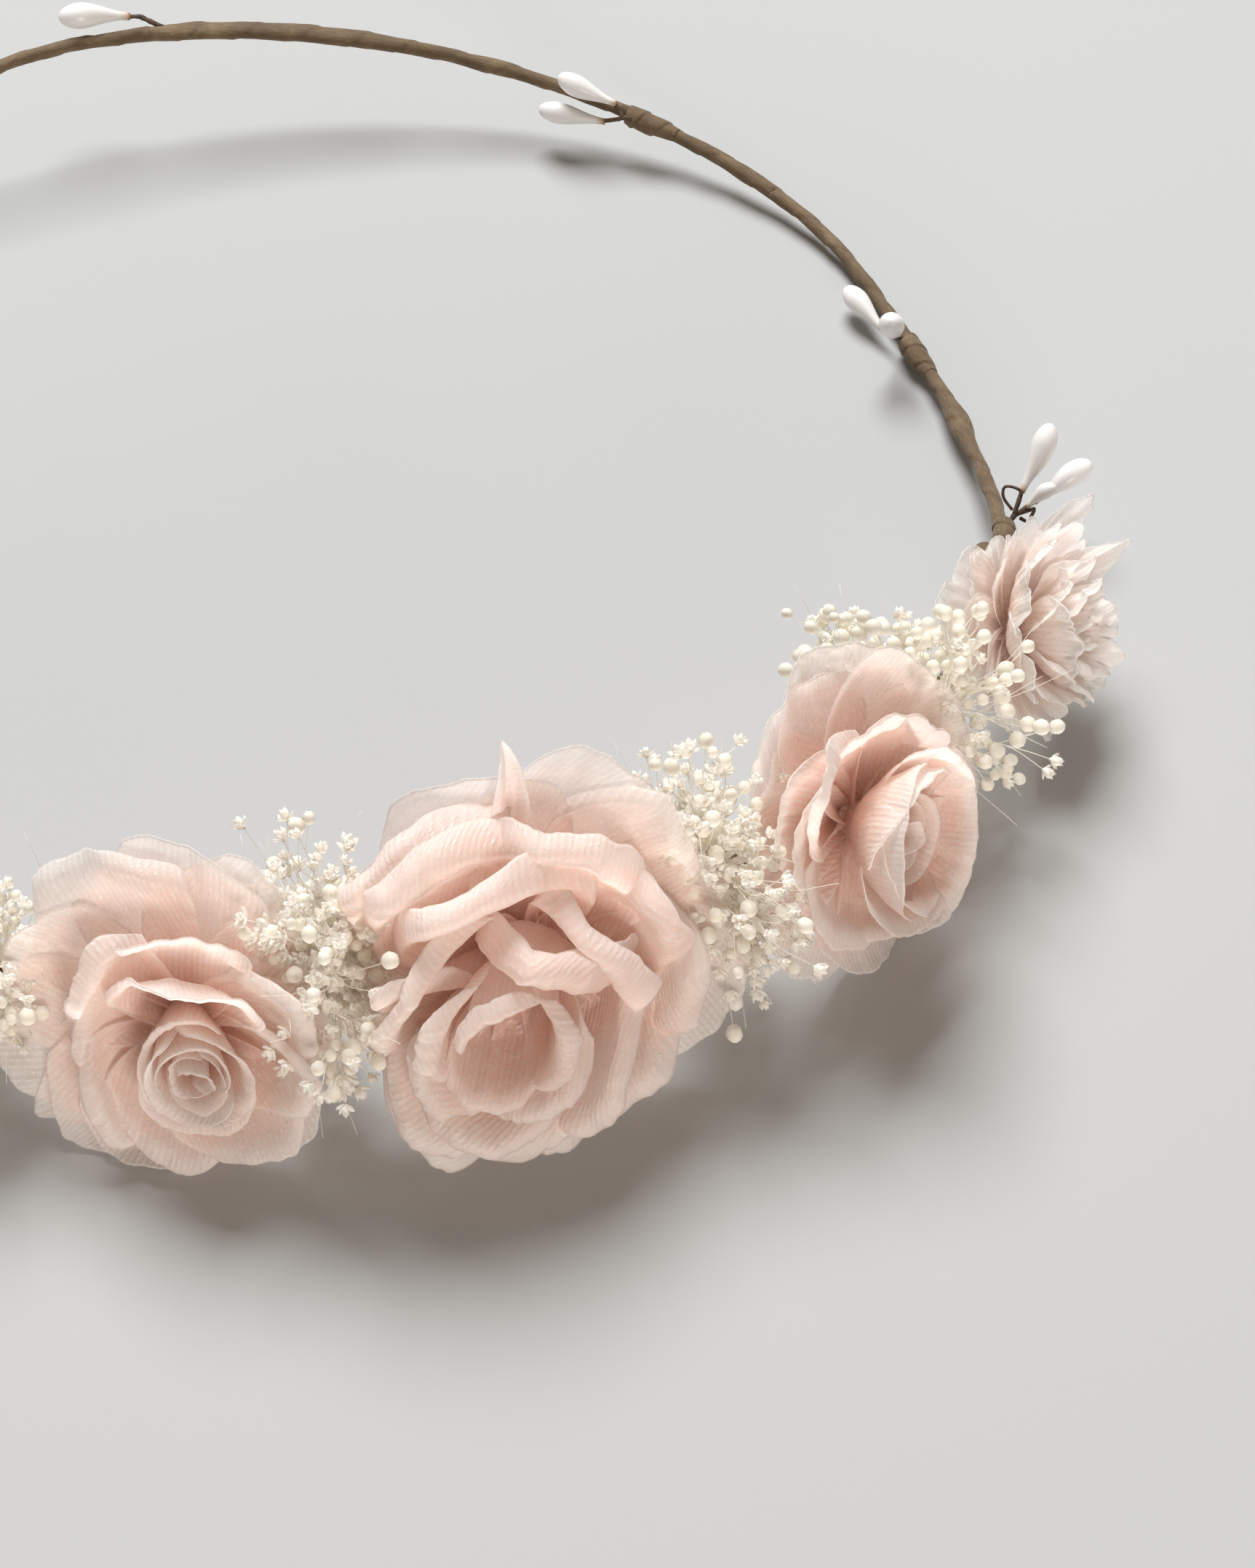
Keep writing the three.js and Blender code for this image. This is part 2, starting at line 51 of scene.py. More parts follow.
BODIES = frame["record"]["behaviour"]["bodies"]
HUB = Vector(frame["record"]["mounts"][0]["pos_m"])  # middle of the hoop, on the table
HUB_MM = np.array(HUB) / MM

# ---------------------------------------------------------------- stage, camera and light

CAMERA_AZIMUTH, CAMERA_ELEVATION = -19.5, 48.0
CAMERA_DISTANCE = 468.7
CAMERA_LENS, CAMERA_SENSOR = 90.0, 36.0
CAMERA_AIM = HUB + Vector((23.5, -52.0, 0)) * MM  # point on the table at the middle of the picture
CAMERA_CLIP = 0.01, 20.0

# Lamps: name, azimuth and elevation in degrees, distance and size in metres, watts, colour.
LAMPS = (
    ("key_light", 172, 58, 2.2, 1.35, 76.0, (0.955, 0.98, 1.0)),
    ("front_fill", -4, 11, 1.5, 0.6, 11.5, (1.0, 0.955, 0.90)),
)
SKY_COLOR, SKY_STRENGTH = (1.0, 0.86, 0.74, 1.0), 0.25
FLOOR_SIDE = 6.0  # metres
FLOOR_COLOR, FLOOR_ROUGHNESS = (0.440, 0.440, 0.434), 0.8


def from_angles(azimuth, elevation):
    """Unit vector towards a viewer or light at that azimuth (0 in front, at -Y) and elevation."""
    a, e = math.radians(azimuth), math.radians(elevation)
    return Vector((math.sin(a) * math.cos(e), -math.cos(a) * math.cos(e), math.sin(e)))


def place_looking(name, data, place, target):
    """Link a camera or lamp at a place, facing a target."""
    obj = bpy.data.objects.new(name, data)
    bpy.context.scene.collection.objects.link(obj)
    obj.location = place
    obj.rotation_mode = "QUATERNION"
    obj.rotation_quaternion = (target - place).to_track_quat("-Z", "Y")
    return obj


def add_camera():
    data = bpy.data.cameras.new("camera")
    data.lens, data.sensor_width = CAMERA_LENS, CAMERA_SENSOR
    data.clip_start, data.clip_end = CAMERA_CLIP
    place = CAMERA_AIM + from_angles(CAMERA_AZIMUTH, CAMERA_ELEVATION) * CAMERA_DISTANCE * MM
    bpy.context.scene.camera = place_looking("camera", data, place, CAMERA_AIM)


def add_stage():
    """Floor, lamps and a soft warm surround."""
    bpy.ops.mesh.primitive_plane_add(size=FLOOR_SIDE, location=(0, 0, 0))
    floor = bpy.context.object
    floor.name = "floor"
    floor.data.materials.append(plain_material("floor_paper", FLOOR_COLOR, FLOOR_ROUGHNESS))
    for name, azimuth, elevation, distance, size, watts, color in LAMPS:
        data = bpy.data.lights.new(name, "AREA")
        data.shape = "DISK"
        data.size, data.energy, data.color = size, watts, color
        place_looking(name, data, HUB + from_angles(azimuth, elevation) * distance, HUB)
    world = bpy.data.worlds.new("studio")
    world.use_nodes = True
    background = world.node_tree.nodes["Background"]
    background.inputs["Color"].default_value = SKY_COLOR
    background.inputs["Strength"].default_value = SKY_STRENGTH
    bpy.context.scene.world = world
    bpy.context.scene.view_settings.view_transform = "Standard"


# ---------------------------------------------------------------- materials


class Graph:
    """One material's node tree, built a node at a time."""

    def __init__(self, name):
        self.material = bpy.data.materials.new(name)
        self.material.use_nodes = True
        self.nodes = self.material.node_tree.nodes
        self.links = self.material.node_tree.links
        self.nodes.clear()

    def feed(self, socket, value):
        """Link a socket to another node's output, or set its plain value."""
        if isinstance(value, bpy.types.NodeSocket):
            self.links.new(value, socket)
        elif socket.type == "RGBA":
            socket.default_value = (*value, 1)
        else:
            socket.default_value = value

    def add(self, kind, inputs):
        """A node of that kind, fed by socket name or number."""
        node = self.nodes.new("ShaderNode" + kind)
        for key, value in inputs.items():
            self.feed(node.inputs[key], value)
        return node

    def math(self, operation, *values):
        node = self.nodes.new("ShaderNodeMath")
        node.operation = operation
        for socket, value in zip(node.inputs, values):
            self.feed(socket, value)
        return node.outputs[0]

    def scaled(self, value, factor, offset):
        return self.math("MULTIPLY_ADD", value, factor, offset)

    def mix_color(self, factor, first, second):
        node = self.nodes.new("ShaderNodeMix")
        node.data_type = "RGBA"
        for index, value in ((0, factor), (6, first), (7, second)):  # the colour sockets of a Mix node
            self.feed(node.inputs[index], value)
        return node.outputs[2]

    def noise(self, vector, scale, detail, roughness=0.5):
        inputs = {"Vector": vector, "Scale": scale, "Detail": detail, "Roughness": roughness}
        return self.add("TexNoise", inputs).outputs["Fac"]

    def ramp(self, factor, stops):
        """Colour read off a ramp of (position, colour) stops."""
        node = self.add("ValToRGB", {"Fac": factor})
        elements = node.color_ramp.elements
        elements.remove(elements[1])
        for i, (position, color) in enumerate(stops):
            element = elements[0] if i == 0 else elements.new(position)
            element.position, element.color = position, (*color, 1)
        return node.outputs["Color"]

    def tone(self):
        node = self.nodes.new("ShaderNodeAttribute")
        node.attribute_name = "tone"
        return node.outputs["Fac"]

    def weave(self):
        node = self.nodes.new("ShaderNodeUVMap")
        node.uv_map = "weave"
        return node.outputs["UV"]

    def place(self):
        return self.nodes.new("ShaderNodeTexCoord").outputs["Object"]

    def bump(self, height, strength, distance_m):
        inputs = {"Height": height, "Strength": strength, "Distance": distance_m}
        return self.add("Bump", inputs).outputs["Normal"]

    def principled(self, inputs):
        return self.add("BsdfPrincipled", inputs).outputs["BSDF"]

    def translucent(self, color):
        return self.add("BsdfTranslucent", {"Color": color}).outputs["BSDF"]

    def mix_shader(self, factor, first, second):
        return self.add("MixShader", {"Fac": factor, 1: first, 2: second}).outputs["Shader"]

    def thinned(self, factor, shader):
        """A shader with clear gaps; factor is how much of it is gap."""
        clear = self.nodes.new("ShaderNodeBsdfTransparent").outputs["BSDF"]
        return self.mix_shader(factor, shader, clear)

    def outer_skin(self, shader):
        """Light meets a closed shell's outer side only, so that thin cloth glows as a single layer does."""
        return self.thinned(self.nodes.new("ShaderNodeNewGeometry").outputs["Backfacing"], shader)

    def finish(self, surface):
        self.add("OutputMaterial", {"Surface": surface})
        return self.material


def plain_material(name, color, roughness):
    graph = Graph(name)
    return graph.finish(graph.principled({"Base Color": color, "Roughness": roughness}))


# Texture scales of cloth and tape are per millimetre of 'weave', those of the other surfaces per metre.
RIBS = {"Scale": 0.44, "Distortion": 1.1, "Detail": 2.0, "Detail Scale": 0.35}
LOOPS = {"Scale": 2.3, "Randomness": 0.75}
# Glinting loops are glossier and also carry a painted highlight: their colour is mixed towards near-white.
GLINT_CUT = 0.52  # knitted loops whose random value passes this catch the light
PAINTED_GLINT_COLOR = (0.995, 0.985, 0.97)
CLOTH_GLOSS = {"Specular IOR Level": 0.6, "Sheen Weight": 0.35, "Sheen Roughness": 0.4}
CLOTH_GLOW = 0.5  # share of the cloth's light that passes through it

# Deep, middle and pale cloth tones; the deep one partly stands for painted shade among the inner petals, the pale
# one partly for painted light on the rims.
ROSE_TONES = ((0.98, 0.62, 0.50), (0.985, 0.765, 0.675), (0.99, 0.885, 0.83))
BLOSSOM_TONES = ((0.985, 0.68, 0.55), (0.99, 0.84, 0.76), (0.995, 0.945, 0.90))
TAPE_TONES = ((0.28, (0.070, 0.043, 0.021)), (0.5, (0.140, 0.092, 0.047)), (0.72, (0.265, 0.188, 0.108)))
# Painted shade colour for the line beside each lapped edge of the tape.
LAP_SHADE_COLOR = (0.085, 0.052, 0.028)
LACQUER_TONES = ((0.0, (0.30, 0.16, 0.08)), (0.05, (0.62, 0.48, 0.36)), (0.13, (0.80, 0.77, 0.735)),
                 (1.0, (0.85, 0.835, 0.82)))


def crepe_material(name, tones, sheer):
    """Sheer ribbed crepe, its gaps up to the share sheer.

    'tone' runs from the petal's foot (0) to its edge (1), over the deep, middle and pale tones: partly the cloth's
    own blush, partly painted shade deep in the flower at the foot and painted light on the rims.
    """
    deep, middle, pale = tones
    g = Graph(name)
    weave = g.weave()
    ribs = g.add("TexWave", {"Vector": weave, **RIBS})
    ribs.wave_type, ribs.bands_direction = "BANDS", "Y"
    loops = g.add("TexVoronoi", {"Vector": weave, **LOOPS})
    loop = g.scaled(loops.outputs["Distance"], -1.9, 1.15)
    loop = g.math("MINIMUM", g.math("MAXIMUM", loop, 0.0), 1.0)
    knit = g.math("MULTIPLY", g.scaled(ribs.outputs["Fac"], 0.7, 0.3), g.scaled(loop, 0.55, 0.45))
    shiny = g.math("GREATER_THAN", loops.outputs["Color"], GLINT_CUT)
    glint = g.math("MULTIPLY", shiny, g.math("POWER", knit, 1.6))
    fibre = g.noise(weave, 1.4, 5.0, 0.7)
    patches = g.noise(weave, 0.12, 2.0)

    base = g.ramp(g.math("ADD", g.tone(), g.scaled(patches, 0.5, -0.25)),
                  ((0.0, deep), (0.45, middle), (0.85, pale)))
    # Raised threads lean to a brighter tone: partly the knit's own pattern, partly painted highlight on the ribs.
    bright = tuple(min(0.98, c * 1.05 + 0.03) for c in pale)
    thread = g.mix_color(g.math("MULTIPLY", knit, 0.5), base, bright)
    # Painted highlight: the glinting loops are mixed towards near-white in the colour itself.
    thread = g.mix_color(g.math("MULTIPLY", glint, 0.95), thread, PAINTED_GLINT_COLOR)
    varied = g.add("HueSaturation", {"Color": thread, "Value": g.scaled(fibre, 0.08, 0.96)})
    color = varied.outputs["Color"]

    height = g.math("ADD", knit, g.math("MULTIPLY", fibre, 0.5))
    normal = g.bump(g.scaled(glint, 0.5, height), 0.5, 0.0002)
    rough = g.scaled(glint, -0.22, g.scaled(knit, -0.3, 0.62))
    cloth = g.principled({"Base Color": color, "Roughness": rough, "Normal": normal, **CLOTH_GLOSS})
    body = g.mix_shader(CLOTH_GLOW, cloth, g.translucent(color))
    return g.finish(g.outer_skin(g.thinned(g.scaled(knit, -0.9 * sheer, sheer), body)))


def tape_material():
    """Brown crepe paper: matte, its fibres along the strip, and darker where 'tone' marks a lapped edge, painted
    shade where the edge lies over the turn below.
    """
    g = Graph("paper_tape")
    weave = g.weave()
    stretch = g.add("Mapping", {"Vector": weave, "Scale": (0.5, 3.2, 1.0)})
    crepe = g.noise(stretch.outputs["Vector"], 1.6, 6.0, 0.65)
    blotch = g.noise(weave, 0.22, 3.0)
    tint = g.ramp(g.scaled(crepe, 0.55, g.math("MULTIPLY", blotch, 0.45)), TAPE_TONES)
    # The lapped edges are darkened with painted shade.
    color = g.mix_color(g.math("MULTIPLY", g.tone(), 0.55), tint, LAP_SHADE_COLOR)
    return g.finish(g.principled({
        "Base Color": color, "Roughness": g.scaled(crepe, 0.2, 0.62), "Normal": g.bump(crepe, 0.6, 0.00015),
        "Sheen Weight": 0.15, "Specular IOR Level": 0.3}))


def lacquer_material():
    """White satin bud: 'tone' is 0 at the neck, where glue and dye tint it brown."""
    g = Graph("bud_lacquer")
    cloud = g.noise(g.place(), 900.0, 3.0)
    tint = g.ramp(g.math("ADD", g.tone(), g.scaled(cloud, 0.12, -0.06)), LACQUER_TONES)
    return g.finish(g.principled({
        "Base Color": tint, "Roughness": g.scaled(cloud, 0.15, 0.3), "Normal": g.bump(cloud, 0.25, 0.0001),
        "Coat Weight": 0.35, "Coat Roughness": 0.18}))


def speckled_material(name, dark, light, roughness, scale, glow=0.0):
    """Dry plant or wire: two tones mixed by fine noise; glow is the share of light that passes through."""
    g = Graph(name)
    grain = g.noise(g.place(), scale, 4.0)
    tint = g.ramp(grain, ((0.3, dark), (0.62, light)))
    surface = g.principled({
        "Base Color": tint, "Roughness": g.scaled(grain, 0.15, roughness),
        "Normal": g.bump(grain, 0.4, 0.0001)})
    if glow:
        surface = g.outer_skin(g.mix_shader(glow, surface, g.translucent(tint)))
    return g.finish(surface)


MATERIALS = {
    "rose_fabric": crepe_material("rose_crepe", ROSE_TONES, 0.08),
    "rose_sheer": crepe_material("rose_crepe_sheer", ROSE_TONES, 0.34),
    "blossom_fabric": crepe_material("blossom_crepe", BLOSSOM_TONES, 0.12),
    "blossom_sheer": crepe_material("blossom_crepe_sheer", BLOSSOM_TONES, 0.30),
    "paper_tape": tape_material(),
    "stem_wire": speckled_material("stem_paper", (0.035, 0.020, 0.012), (0.110, 0.066, 0.038), 0.55, 1500),
    "bud_lacquer": lacquer_material(),
    "floret": speckled_material("floret", (0.90, 0.84, 0.70), (0.96, 0.93, 0.84), 0.62, 1100, 0.3),
    "floret_white": speckled_material(
        "floret_white", (0.96, 0.90, 0.80), (0.985, 0.965, 0.92), 0.6, 1200, 0.45),
    "hair_stem": speckled_material("hair_stem", (0.93, 0.87, 0.75), (0.98, 0.95, 0.88), 0.6, 800, 0.4),
}

# ---------------------------------------------------------------- shapes


def unit(v):
    return v / np.linalg.norm(v)


def smoothstep(x, low=0.0, high=1.0):
    t = np.clip((x - low) / (high - low), 0, 1)
    return t * t * (3 - 2 * t)


def noise_grid(*coordinates):
    """Smooth noise at broadcast coordinates."""
    grids = np.broadcast_arrays(*coordinates)
    flat = np.stack([g.ravel() for g in grids], axis=1)
    return np.array([noise.noise(Vector(row)) for row in flat]).reshape(grids[0].shape)


def grid_faces(rows, columns, closed=False):
    """Quads of a grid of points stored row by row; closed joins the last column to the first."""
    faces = []
    for start in range(0, (rows - 1) * columns, columns):
        for c in range(columns if closed else columns - 1):
            n = (c + 1) % columns
            faces.append((start + c, start + n, start + columns + n, start + columns + c))
    return faces


class Builder:
    """Gathers grids of points, in millimetres in the frame, into one mesh piece."""

    def __init__(self):
        self.points, self.faces, self.tone, self.weave, self.count = [], [], [], [], 0

    def add(self, points, faces, tone=0.0, weave=(0.0, 0.0)):
        """Take in a grid; tone is one value a point, weave two."""
        points = np.asarray(points, float).reshape(-1, 3)
        count = len(points)
        self.faces.extend(tuple(i + self.count for i in face) for face in faces)
        self.points.append(points)
        self.tone.append(np.broadcast_to(np.ravel(tone), count))
        self.weave.append(np.broadcast_to(np.reshape(weave, (-1, 2)), (count, 2)))
        self.count += count
        return self

    def tube(self, centers, across, upward, width, height, sides, tone=0.0, weave=(0.0, 0.0)):
        """A capped tube; its directions may vary by ring, its half-widths by ring and side."""
        rings = len(centers)
        angles = 2 * np.pi * np.arange(sides)[None, :, None] / sides
        across, upward = (np.broadcast_to(v, centers.shape)[:, None] for v in (across, upward))
        width, height = (np.broadcast_to(np.reshape(v, (rings, -1)), (rings, sides))[..., None]
                         for v in (width, height))
        points = centers[:, None] + across * np.cos(angles) * width + upward * np.sin(angles) * height
        last = (rings - 1) * sides
        caps = [tuple(range(sides - 1, -1, -1)), tuple(range(last, last + sides))]
        return self.add(points, grid_faces(rings, sides, True) + caps, tone, weave)

    def wire(self, points, radius, count=26, sides=10, seed=0.0):
        """A slightly lumpy wire along a smooth curve through points."""
        path = smooth_path(points, count)
        size = radius * (1 + 0.16 * noise_grid(np.arange(count) * 0.55, seed, 1.0))
        return self.tube(path, *carried_sides(path), size, size, sides)

    def tape(self, node):
        """Finish as brown tape that stays on the crown and stands for a CAD node."""
        return self.piece(f"{node}_wrap", "paper_tape", "crown", "paper_tape", [node])

    def piece(self, name, material, body, slot, replaces=()):
        """Finish as one object that rides on a body and stands for the CAD nodes it replaces."""
        mesh = bpy.data.meshes.new(name)
        mesh.from_pydata((np.vstack(self.points) * MM).tolist(), [], self.faces)
        mesh.shade_smooth()
        attribute = mesh.attributes.new("tone", "FLOAT", "POINT")
        attribute.data.foreach_set("value", np.concatenate(self.tone).astype(np.float32))
        layer = mesh.uv_layers.new(name="weave")
        corners = np.zeros(len(mesh.loops), np.int32)
        mesh.loops.foreach_get("vertex_index", corners)
        layer.data.foreach_set("uv", np.vstack(self.weave).astype(np.float32)[corners].ravel())
        mesh.update()
        piece = bpy.data.objects.new(name, mesh)
        bpy.context.scene.collection.objects.link(piece)
        piece.data.materials.append(MATERIALS[material])
        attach(piece, body)
        if replaces:
            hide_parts(*replaces)
        return piece


def smooth_path(points, count):
    """Catmull-Rom curve through points, resampled evenly."""
    points = np.asarray(points, float)
    padded = np.vstack([2 * points[0] - points[1], points, 2 * points[-1] - points[-2]])
    dense = []
    for i in range(1, len(padded) - 2):
        a, b, c, d = padded[i - 1:i + 3]
        for t in np.linspace(0, 1, 12, endpoint=False):
            dense.append(0.5 * (2 * b + (c - a) * t + (2 * a - 5 * b + 4 * c - d) * t**2
                                + (3 * b - a - 3 * c + d) * t**3))
    dense.append(points[-1])
    dense = np.array(dense)
    run = np.concatenate([[0], np.cumsum(np.linalg.norm(np.diff(dense, axis=0), axis=1))])
    even = np.linspace(0, run[-1], count)
    return np.stack([np.interp(even, run, dense[:, k]) for k in range(3)], axis=1)


def carried_sides(path):
    """Two side vectors at each point of a path, turned as little as possible from one to the next."""
    tangents = np.gradient(path, axis=0)
    tangents /= np.linalg.norm(tangents, axis=1)[:, None]
    side = np.cross(tangents[0], (0.0, 0.0, 1.0))
    if np.linalg.norm(side) < 0.1:
        side = np.cross(tangents[0], (1.0, 0.0, 0.0))
    sides = []
    for tangent in tangents:
        side = unit(side - tangent * np.dot(side, tangent))
        sides.append(side)
    return np.array(sides), np.cross(tangents, sides)


def node_points(name):
    """A CAD node's distinct vertices, in millimetres."""
    co = np.array([v.co for v in NODES[name].data.vertices], float) / MM
    return np.unique(np.round(co, 4), axis=0)


def main_axis(points):
    """Middle of a cloud of points, and the unit vector of its longest direction."""
    middle = points.mean(0)
    _, _, rows = np.linalg.svd(points - middle)
    return middle, rows[0]


# ---------------------------------------------------------------- the hoop's line, read from the frame

TAPE_NODES = ("tape_front", "tape_right_side", "tape_right_back",
              "tape_splice", "tape_left_back", "tape_left_side")
FLAT_TO_ROUND = 1 / math.cos(math.radians(22.5))  # an eight-sided tube's half-width to its corner radius


def angles_of(points):
    """Degrees round the hoop from the front, counterclockwise, of points in millimetres."""
    return np.degrees(np.arctan2(points[:, 0] - HUB_MM[0], HUB_MM[1] - points[:, 1]))


def read_stations():
    """The tape's cross-sections: rows of angle, centre, half-width outward and half-height."""
    points = np.vstack([node_points(n) for n in TAPE_NODES])
    angles = angles_of(points) % 360
    order = np.argsort(angles)
    points, angles = points[order], angles[order]
    breaks = np.nonzero(np.diff(angles) > 1.0)[0] + 1
    rows = []
    for group, turn in zip(np.split(points, breaks), np.split(angles, breaks)):
        centre = group.mean(0)
        out = unit(np.array([centre[0] - HUB_MM[0], centre[1] - HUB_MM[1], 0]))
        reach = group - centre
        rows.append([turn.mean(), *centre, np.abs(reach @ out).max() * FLAT_TO_ROUND,
                     np.abs(reach[:, 2]).max() * FLAT_TO_ROUND])
    return np.array(rows)


class Hoop:
    """Smooth closed curve through the stations."""

    def __init__(self, rows):
        full_turn = np.array([360, 0, 0, 0, 0, 0])
        self.rows = np.vstack([rows[-3:] - full_turn, rows, rows[:3] + full_turn])

    def values(self, angle):
        """Centre, half-width and half-height at an angle in degrees."""
        x = self.rows[:, 0]
        turn = angle % 360
        i = int(np.clip(np.searchsorted(x, turn) - 1, 1, len(x) - 3))
        before, start, end, after = self.rows[i - 1:i + 3]
        span = end[0] - start[0]
        t = (turn - start[0]) / span
        slope_a = (end - before) / (end[0] - before[0]) * span
        slope_b = (after - start) / (after[0] - start[0]) * span
        value = ((2 * t**3 - 3 * t**2 + 1) * start + (t**3 - 2 * t**2 + t) * slope_a
                 + (3 * t**2 - 2 * t**3) * end + (t**3 - t**2) * slope_b)
        return value[1:4], value[4], value[5]

    def frame(self, angle):
        """Centre and unit vectors along (counterclockwise), out and up."""
        centre = self.values(angle)[0]
        along = unit(self.values(angle + 0.5)[0] - self.values(angle - 0.5)[0])
        out = unit(np.cross(along, (0, 0, 1)))
        return centre, along, out, unit(np.cross(out, along))

    def sections(self, turns):
        """Centres, out and up vectors, half-widths and half-heights at several angles."""
        centers, _, outs, ups = (np.array(column) for column in zip(*(self.frame(turn) for turn in turns)))
        widths, heights = np.array([self.values(turn)[1:] for turn in turns]).T
        return centers, outs, ups, widths, heights


HOOP = Hoop(read_stations())
DEGREES_PER_MM = math.degrees(1 / np.linalg.norm(HOOP.values(90)[0][:2] - HUB_MM[:2]))

# ---------------------------------------------------------------- tape round the hoop

TAPE_SIDES, KNOB_SIDES, BINDING_SIDES = 28, 24, 26
TAPE_GIRTH, KNOB_GIRTH, STEM_GIRTH = 6, 8, 4  # how much of the strip's width goes round
# Windings: seed of the wrinkles, how far one turn moves along, height of the tape's edge on the turn below.
TAPE_WINDING, KNOB_WINDING, STEM_WINDING = (3.7, 7.5, 0.16), (9.1, 3.4, 0.14), (2.2, 2.4, 0.08)
BINDING_PITCH, BINDING_LIP = 3.6, 0.2
TAPE_STEP = 0.55  # spacing of the rings
TAPE_INSET = 0.1  # how far the smooth radius lies inside the CAD sleeve, so that laps and creases reach it
SLEEVE_END = 0.12  # degrees by which a sleeve runs on past its CAD node
# Painted shade: a dark line beside each lapped edge of the tape.
LAP_SHADE_WIDTH = 0.07  # share of a turn that the dark line beside the tape's edge takes
KNOB_RINGS, BINDING_RINGS = 40, 44
KNOB_SINK = 0.6  # how far the knob's near side stands off the middle of the hoop


def wrap_surface(lengths, sides, seed, pitch, lip):
    """Extra radius and painted shade beside each lapped edge, by ring and side, of tape wound in a spiral."""
    s, a = lengths[:, None], 2 * np.pi * np.arange(sides)[None] / sides
    turn = (s / pitch - a / (2 * math.pi) + 0.5 * noise_grid(s * 0.05, seed, 0.3)) % 1.0
    ripple = noise_grid(s * 0.9, np.cos(a) * 1.6, np.sin(a) * 1.6 + seed)
    crease = noise_grid(s * 0.25, np.cos(a) * 0.8 + 7, np.sin(a) * 0.8 + seed)
    extra = lip * (1 - turn) * smoothstep(turn, 0, 0.05) + 0.05 * ripple + 0.13 * crease
    return extra, 1 - smoothstep(turn, 0.0, LAP_SHADE_WIDTH)


def wrap_weave(lengths, sides, girth):
    """UV in millimetres of a wound strip, by ring and side."""
    around = np.arange(sides) / sides * girth
    return np.stack(np.broadcast_arrays(lengths[:, None], around[None]), axis=-1)


def add_tape(node):
    """One sleeve of tape along the hoop."""
    angles = angles_of(node_points(node)) % 360
    if np.ptp(angles) > 300:  # the sleeve crosses the front, where angles start again from 0
        angles = (angles + 180) % 360 - 180
    low, high = angles.min() - SLEEVE_END, angles.max() + SLEEVE_END
    turns = np.linspace(low, high, int((high - low) / DEGREES_PER_MM / TAPE_STEP))
    centers, outs, ups, widths, heights = HOOP.sections(turns)
    lengths = turns / DEGREES_PER_MM
    extra, lap_shade = wrap_surface(lengths, TAPE_SIDES, *TAPE_WINDING)
    extra = extra - TAPE_INSET
    Builder().tube(
        centers, outs, ups, widths[:, None] + extra, heights[:, None] + extra, TAPE_SIDES,
        lap_shade, wrap_weave(lengths, TAPE_SIDES, TAPE_GIRTH)).tape(node)


def add_knob(node):
    """The rounded end of the taped bundle, lying against the inside of the hoop."""
    points = node_points(node)
    middle, axis = main_axis(points)
    along = (points - middle) @ axis
    half = (along.max() - along.min()) / 2
    radius = np.linalg.norm(points - middle - np.outer(along, axis), axis=1).max()
    if axis[1] < 0:
        axis = -axis
    centre, _, outward, _ = HOOP.frame(angles_of(middle[None])[0])
    middle = middle + outward * (np.dot(centre - middle, outward) - radius - KNOB_SINK)
    steps = np.linspace(-1, 1, KNOB_RINGS)
    centers = middle + np.outer(steps * half * 0.98 + (along.max() + along.min()) / 2, axis)
    side = unit(np.cross(axis, (0, 0, 1)))
    profile = radius * np.sqrt(np.clip(1 - np.abs(steps) ** 2.6, 0, 1)) + 0.02
    extra, lap_shade = wrap_surface(steps * half, KNOB_SIDES, *KNOB_WINDING)
    size = profile[:, None] + (extra - TAPE_INSET) * (profile / radius)[:, None]
    Builder().tube(
        centers, side, np.cross(side, axis), size, size, KNOB_SIDES,
        lap_shade, wrap_weave(steps * half, KNOB_SIDES, KNOB_GIRTH)).tape(node)


def add_binding(node, root, run, seed):
    """Tape wound over the foot of a sprig, swelling on its side and open at its mouth.

    root is where the sprig bends; run is 1 where the tape's mouth is counterclockwise of its back, else -1.
    """
    points = node_points(node)
    turns = angles_of(points) % 360
    low, high = turns.min(), turns.max()
    back, mouth = (low, high) if run > 0 else (high, low)
    shares = np.linspace(0, 1, BINDING_RINGS)
    centers, outs, ups, widths, _ = HOOP.sections(back + (mouth - back) * shares)
    side = unit(root - HOOP.frame(mouth)[0])
    full = smoothstep(shares, 0.0, 0.6) * (1 - 0.3 * smoothstep(shares, 0.85, 1.0))
    reach = np.linalg.norm(points - HOOP.values((low + high) / 2)[0], axis=1).max()
    lengths = shares * (reach + 4)
    extra, lap_shade = wrap_surface(lengths, BINDING_SIDES, seed, BINDING_PITCH, BINDING_LIP)
    size = (widths + 0.02 + 0.42 * full)[:, None] + extra * smoothstep(shares, 0, 0.2)[:, None]
    Builder().tube(
        centers + np.outer(0.5 * full, side), outs, ups, size, size, BINDING_SIDES,
        lap_shade, wrap_weave(lengths + 5 * seed, BINDING_SIDES, KNOB_GIRTH)).tape(node)


# ---------------------------------------------------------------- bud sprigs

BUD_RINGS, BUD_SIDES = 34, 28
ROOT_RUN = 3.4  # how far back along the hoop a sprig's wire goes under the tape
ROOT_RADIUS = 0.36
PAIR_RADIUS, SINGLE_RADIUS, SHORT_RADIUS = 0.3, 0.32, 0.28
WIRE_IN_BUD = 0.5  # how far a wire runs into its bud


def bud_line(node):
    """Neck, unit direction to the tip, length and largest radius of a bud."""
    points = node_points(node)
    middle, axis = main_axis(points)
    along = (points - middle) @ axis
    off = np.linalg.norm(points - middle - np.outer(along, axis), axis=1)
    if along[np.argmax(off)] < (along.max() + along.min()) / 2:
        axis, along = -axis, -along
    return middle + axis * along.min(), axis, np.ptp(along), off.max()


